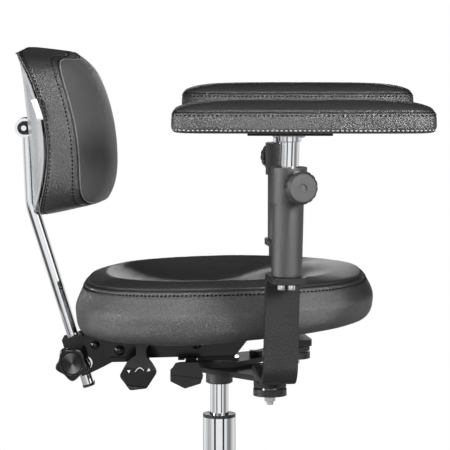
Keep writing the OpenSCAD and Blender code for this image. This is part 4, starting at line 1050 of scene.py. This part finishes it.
def make_tab_screws():
    """Socket-head screws that hang from the right tab, 14.5 mm apart across the bracket."""
    arm = right_arm_place()
    for k, w in enumerate((-TAB_SCREW_HALF_PITCH, TAB_SCREW_HALF_PITCH)):
        place = arm.copy()
        place.translation = (arm @ Vector((REACH, w, TAB_SCREW_Z))) * MM
        place = place @ Matrix.Rotation(math.pi, 4, "X")
        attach(turned("right_tab_screw_%d" % (k + 1), TAB_SCREW, place, "chrome", 36), "right_arm")


def raised(profile, z):
    return [(r, z + h) for r, h in profile]


def make_sockets():
    """A chrome sleeve and two cap screws under each pad's plate."""
    for side in ("right", "left"):
        body = side + "_rest"
        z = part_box(side + "_pad_plate")[0][2] / MM
        lo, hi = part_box(side + "_arm_post")
        cx = (lo[0] + hi[0]) / 2 if side == "left" else RIGHT_SOCKET_X
        cy = (lo[1] + hi[1]) / 2
        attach(turned(side + "_socket_sleeve", raised(SLEEVE, z), Matrix.Translation((cx, cy, 0)), "chrome", 56), body)
        for k, dx in enumerate(PAD_SCREW_X):
            place = Matrix.Translation((cx + dx * MM, cy + PAD_SCREW_Y * MM, 0))
            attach(turned("%s_pad_screw_%d" % (side, k + 1), raised(PAD_SCREW, z), place, "chrome", 24), body)


make_tilt_lever()
make_paddle("height_paddle", HEIGHT_CORNERS, 9, HEIGHT_Y, 425, 0.3, "height_lever_body")
make_star_knob()
make_right_bracket()
make_tab_screws()
make_sockets()


# Camera
cam = bpy.data.cameras.new("camera")
cam.lens = 222.8
cam.sensor_width = 36
cam.clip_end = 60
camera = link(bpy.data.objects.new("camera", cam))
camera.location = (0.0532, -4.213, 1.0819)
camera.rotation_euler = Vector((-0.01055, 1, -0.10307)).to_track_quat("-Z", "Y").to_euler()
scene.camera = camera

# Floor: it takes the shadow near the chair and runs out to white, for the camera alone
FLOOR_R, FLOOR_SIDES = 1.45, 80
M["floor"], nt, p = base_material("pale_floor")
co = object_coords(nt)
path = node(nt, "ShaderNodeLightPath").outputs
seen = math_node(nt, "MAXIMUM", path["Is Camera Ray"], path["Is Glossy Ray"])
pale = ramp(nt, noise(nt, co, 60, 4), [(0.3, 0.24), (0.7, 0.28)])
fill(nt, p, {"Base Color": mixed(nt, seen, (0.03, 0.03, 0.03, 1), pale), "Roughness": 0.8, "Specular IOR Level": 0.1})
far = mapped(nt, vector_node(nt, "LENGTH", {0: co}, "Value"), (0.55, 1.35), (0.55, 1.0))
white = node(nt, "ShaderNodeEmission", {"Color": (1, 1, 1, 1), "Strength": 1.0}).outputs[0]
mix = node(nt, "ShaderNodeMixShader",
           {0: math_node(nt, "MULTIPLY", path["Is Camera Ray"], far), 1: p.outputs[0], 2: white})
nt.links.new(mix.outputs[0], nt.nodes["Material Output"].inputs["Surface"])
corners = [2 * math.pi * k / FLOOR_SIDES for k in range(FLOOR_SIDES)]
floor = mesh_object("floor", [(FLOOR_R * math.cos(a), FLOOR_R * math.sin(a), 0) for a in corners],
                    [tuple(range(FLOOR_SIDES))], "floor", smooth=False)

# World: white to the camera, soft grey as light, and studio bands for what shines
world = bpy.data.worlds.new("studio")
scene.world = world
world.use_nodes = True
nt = world.node_tree
nt.nodes.clear()
out = node(nt, "ShaderNodeOutputWorld")
path = node(nt, "ShaderNodeLightPath").outputs
xyz = node(nt, "ShaderNodeSeparateXYZ", {0: node(nt, "ShaderNodeTexCoord").outputs["Generated"]}).outputs
azimuth = math_node(nt, "ARCTAN2", xyz["X"], math_node(nt, "MULTIPLY", xyz["Y"], -1.0))
turn = math_node(nt, "ADD", math_node(nt, "DIVIDE", azimuth, 2 * math.pi), 0.5)
height = math_node(nt, "MULTIPLY_ADD", xyz["Z"], 0.5, 0.5)


def round_about(stops):
    """A ramp over the azimuth, in degrees from the front of the studio (-Y)."""
    return ramp(nt, turn, [(0.5 + d / 360, c) for d, c in stops])


bands = round_about([(-180, 0.06), (-120, 0.16), (-60, 0.62), (-52, 0.92), (-38, 0.92), (-35, 0.03), (-25, 0.02),
                     (-22, 1.0), (22, 1.0), (25, 0.02), (35, 0.03), (38, 0.92), (52, 0.92), (60, 0.30), (120, 0.10),
                     (150, 0.06), (180, 0.06)])
tall = ramp(nt, height, [(0.15, 0.10), (0.36, 0.15), (0.41, 0.95), (0.50, 1.0), (0.58, 0.90), (0.64, 0.22),
                         (0.80, 0.22), (0.87, 0.80), (1.0, 0.90)])
# What metal shows when it is seen from behind and above
rear = round_about([(-180, 0.85), (-166, 0.85), (-162, 0.05), (-152, 0.05), (-148, 0.7), (-115, 0.7), (-80, 0.0),
                    (80, 0.0), (115, 0.7), (148, 0.7), (152, 0.05), (162, 0.05), (166, 0.85), (180, 0.85)])
low = ramp(nt, height, [(0.20, 0.0), (0.30, 1.0), (0.46, 1.0), (0.495, 0.0)])
glossy = mixed(nt, 1.0, mixed(nt, 1.0, bands, tall, "MULTIPLY"), mixed(nt, 1.0, rear, low, "MULTIPLY"), "ADD")
soft = ramp(nt, height, [(0.15, 0.25), (0.49, 0.45), (0.71, 0.75)])
pick = mixed(nt, path["Is Glossy Ray"], soft, glossy)
pick = mixed(nt, path["Is Camera Ray"], pick, (1, 1, 1, 1))
background = node(nt, "ShaderNodeBackground", {"Color": pick, "Strength": 1.0})
nt.links.new(background.outputs[0], out.inputs["Surface"])

# Lamps: place, aim, width, height, watts
LAMPS = {
    "key": ((1.5, -1.9, 1.45), (0.0, 0.0, 0.6), 0.6, 0.6, 60),
    "front": ((-1.35, -3.3, 1.7), (0.0, 0.0, 0.6), 0.6, 0.5, 22),
    "side": ((2.6, -1.1, 1.1), (-0.2, 0.0, 0.8), 0.9, 0.9, 3),
    "behind": ((0.05, 2.4, 0.87), (0.0, 0.0, 0.575), 0.8, 0.3, 0.08),
    "left": ((-3.1, -1.1, 1.0), (0.0, 0.0, 0.6), 0.8, 0.6, 70),
    "top": ((0.1, 0.3, 2.8), (0.0, 0.0, 0.6), 1.4, 1.4, 3),
}
for name, (at, look, width, tallness, power) in LAMPS.items():
    data = bpy.data.lights.new(name, "AREA")
    data.shape = "RECTANGLE"
    data.size = width
    data.size_y = tallness
    data.energy = power
    lamp = link(bpy.data.objects.new(name, data))
    lamp.location = at
    lamp.rotation_euler = (Vector(look) - Vector(at)).to_track_quat("-Z", "Y").to_euler()
bpy.data.lights["behind"].spread = math.radians(26)

scene.view_settings.view_transform = "Standard"
